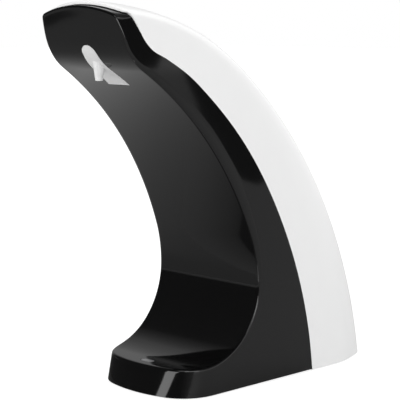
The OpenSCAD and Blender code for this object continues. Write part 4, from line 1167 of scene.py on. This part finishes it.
def standing(name, a, b, top, levels, axis=0, span=(0.0, 1.0)):
    """An upright card between two places on the floor."""
    card(name, [(*a, 0.0), (*b, 0.0), (*b, top), (*a, top)], levels, axis, span)


print("card helpers ready")

# %% [markdown]
# Walls and a roof stand round the object. They are dark in front and grow lighter to the right and to the
# back, so black surfaces that mirror the front stay black and those that mirror the rest turn dark grey.

# %% Walls and roof of the studio
DARK, GREY = even(0.06), even(0.46)
FRONT_LEFT, FRONT_MIDDLE, FRONT_RIGHT, BACK_LEFT = (-1.6, -0.05), (0.3, -1.25), (1.3, -0.75), (-0.5, 1.3)
WALL_TOP = 1.0
corner_levels = [(0.0, 0.06), (0.4, 0.06), (1.0, 0.28)]
standing("front wall", FRONT_LEFT, FRONT_MIDDLE, WALL_TOP, DARK)
standing("corner wall", FRONT_MIDDLE, FRONT_RIGHT, WALL_TOP, corner_levels, 0, (0.3, 1.3))
standing("back wall", FRONT_LEFT, BACK_LEFT, WALL_TOP, [(0.0, 0.1), (1.0, 0.42)], 1, (-0.05, 0.6))
standing("right wall", (0.28, 0.16), (0.22, 0.62), 0.5, GREY)
roof = [(-1.6, -1.3, WALL_TOP), (1.0, -1.3, WALL_TOP), (1.0, 1.3, WALL_TOP), (-1.6, 1.3, WALL_TOP)]
card("roof", roof, [(0.0, 0.06), (1.0, 0.42)], 1, (-0.04, 0.52))
print("walls and roof set")

# %% [markdown]
# Small cards draw single reflections. A bright strip in front of the base gives the light bar near its
# corner, and a tall one at the right gives the glints on rounded edges. Dark flags at the right draw the
# black on the side of the head and along the seam. A low dark card beside the base is a painted contact
# shadow, which the front of the base mirrors as the floor's shade next to it. The corners were found by
# following rays from the camera, off the black surface, to the plane of the card.

# %% Strip, glint and flags
STRIP_Y, STRIP_LOW, STRIP_TOP = -0.16, 0.002, 0.034
strip = [(-0.0237, STRIP_Y, STRIP_LOW), (-0.006, STRIP_Y, STRIP_LOW),
         (0.071, STRIP_Y, STRIP_TOP), (0.0037, STRIP_Y, STRIP_TOP)]
glint = [(0.416, -0.56, 0.12), (0.62, -0.2, 0.12), (0.62, -0.2, 0.3), (0.416, -0.56, 0.3)]
HEAD_FLAG_X, SEAM_FLAG_X = 0.245, 0.243
head_flag = [(-0.075, 0.185), (-0.075, 0.31), (0.085, 0.31), (0.085, 0.205), (0.07, 0.18)]
seam_flag = [(0.093, 0.176), (0.104, 0.154), (0.109, 0.141), (0.118, 0.129), (0.124, 0.113), (0.14, 0.095),
             (0.164, 0.087), (0.19, 0.1), (0.16, 0.16), (0.12, 0.2)]
card("strip", strip, even(1.0), strength=3.6)
card("glint", glint, even(1.0), strength=4.0)
# Painted contact shadow: a low dark card beside the base, mirrored by the base's glossy front.
standing("contact shadow card", (-0.05, -0.045), (-0.05, -0.1), 0.014, DARK)
card("head flag", [(HEAD_FLAG_X, y, z) for y, z in head_flag], DARK)
card("seam flag", [(SEAM_FLAG_X, y, z) for y, z in seam_flag], DARK)
print("strip, glint and flags set")

# %% [markdown]
# The hollow and the face look down, so they mirror the floor. Two glowing cards lie on it, a fraction of a
# millimetre high. One is painted light and shadow of the floor: a pool of light that darkens into the
# object's shadow towards the base, which the hollow mirrors as its tones. The other, even and darker,
# keeps the face dark. Both fade out where the real floor takes over. A small flag on top draws a dark
# mark on the face.

# %% Shades on the floor
def lying(x0, x1, y0, y1, z):
    """Corners of a level card."""
    return [(x0, y0, z), (x1, y0, z), (x1, y1, z), (x0, y1, z)]


# Levels along X of the painted floor light: a pool of light, then the object's painted shadow near the base.
floor_light_and_shadow = [(0.0, 0.36), (0.3, 0.46), (0.5, 0.86), (0.75, 0.44), (0.88, 0.3), (0.94, 0.2), (0.98, 0.09)]
card("floor shade", lying(-0.5, -0.02, -0.3, 0.3, 0.0004), floor_light_and_shadow, 0, (-0.45, -0.05), (-0.3, -0.04))
card("face shade", lying(-0.55, -0.12, -0.45, -0.02, 0.0005), even(0.29), fade=(-0.02, -0.19))
patch = [(-0.425, -0.342), (-0.397, -0.326), (-0.386, -0.331),
         (-0.382, -0.337), (-0.36, -0.344), (-0.39, -0.351)]
card("face flag", [(x, y, 0.0006) for x, y in patch], DARK)
print("floor shades set")

# %% [markdown]
# ## Lamps
# Four weak area lamps model the white shell: a top lamp from behind, a front lamp, and two low ones from
# the left and the right. The low ones are hidden from reflections, because they would show as squares in
# the black. The powers stay low enough that the white shell keeps its shading on every side.

# %% Lamps
def lamp(name, place, aim, size, power):
    """A square area lamp that looks at a point."""
    data = bpy.data.lights.new(name, "AREA")
    data.size = size
    data.energy = power
    obj = bpy.data.objects.new(name, data)
    obj.location = place
    obj.rotation_euler = (Vector(aim) - Vector(place)).to_track_quat("-Z", "Y").to_euler()
    scene.collection.objects.link(obj)
    return obj


fill = lamp("fill light", (-0.35, -0.6, 0.12), (0.0, -0.08, 0.17), 0.4, 0.8)
side = lamp("side light", (0.9, 0.05, 0.15), (0.0, 0.0, 0.1), 0.5, 0.75)
fill.visible_glossy = False
side.visible_glossy = False
lamp("top light", (0.7, 0.5, 1.1), (0.0, 0.0, 0.1), 0.7, 2.6)
lamp("front light", (0.5, -0.8, 0.7), (0.0, -0.05, 0.1), 0.5, 1.6)
print("lamps set")
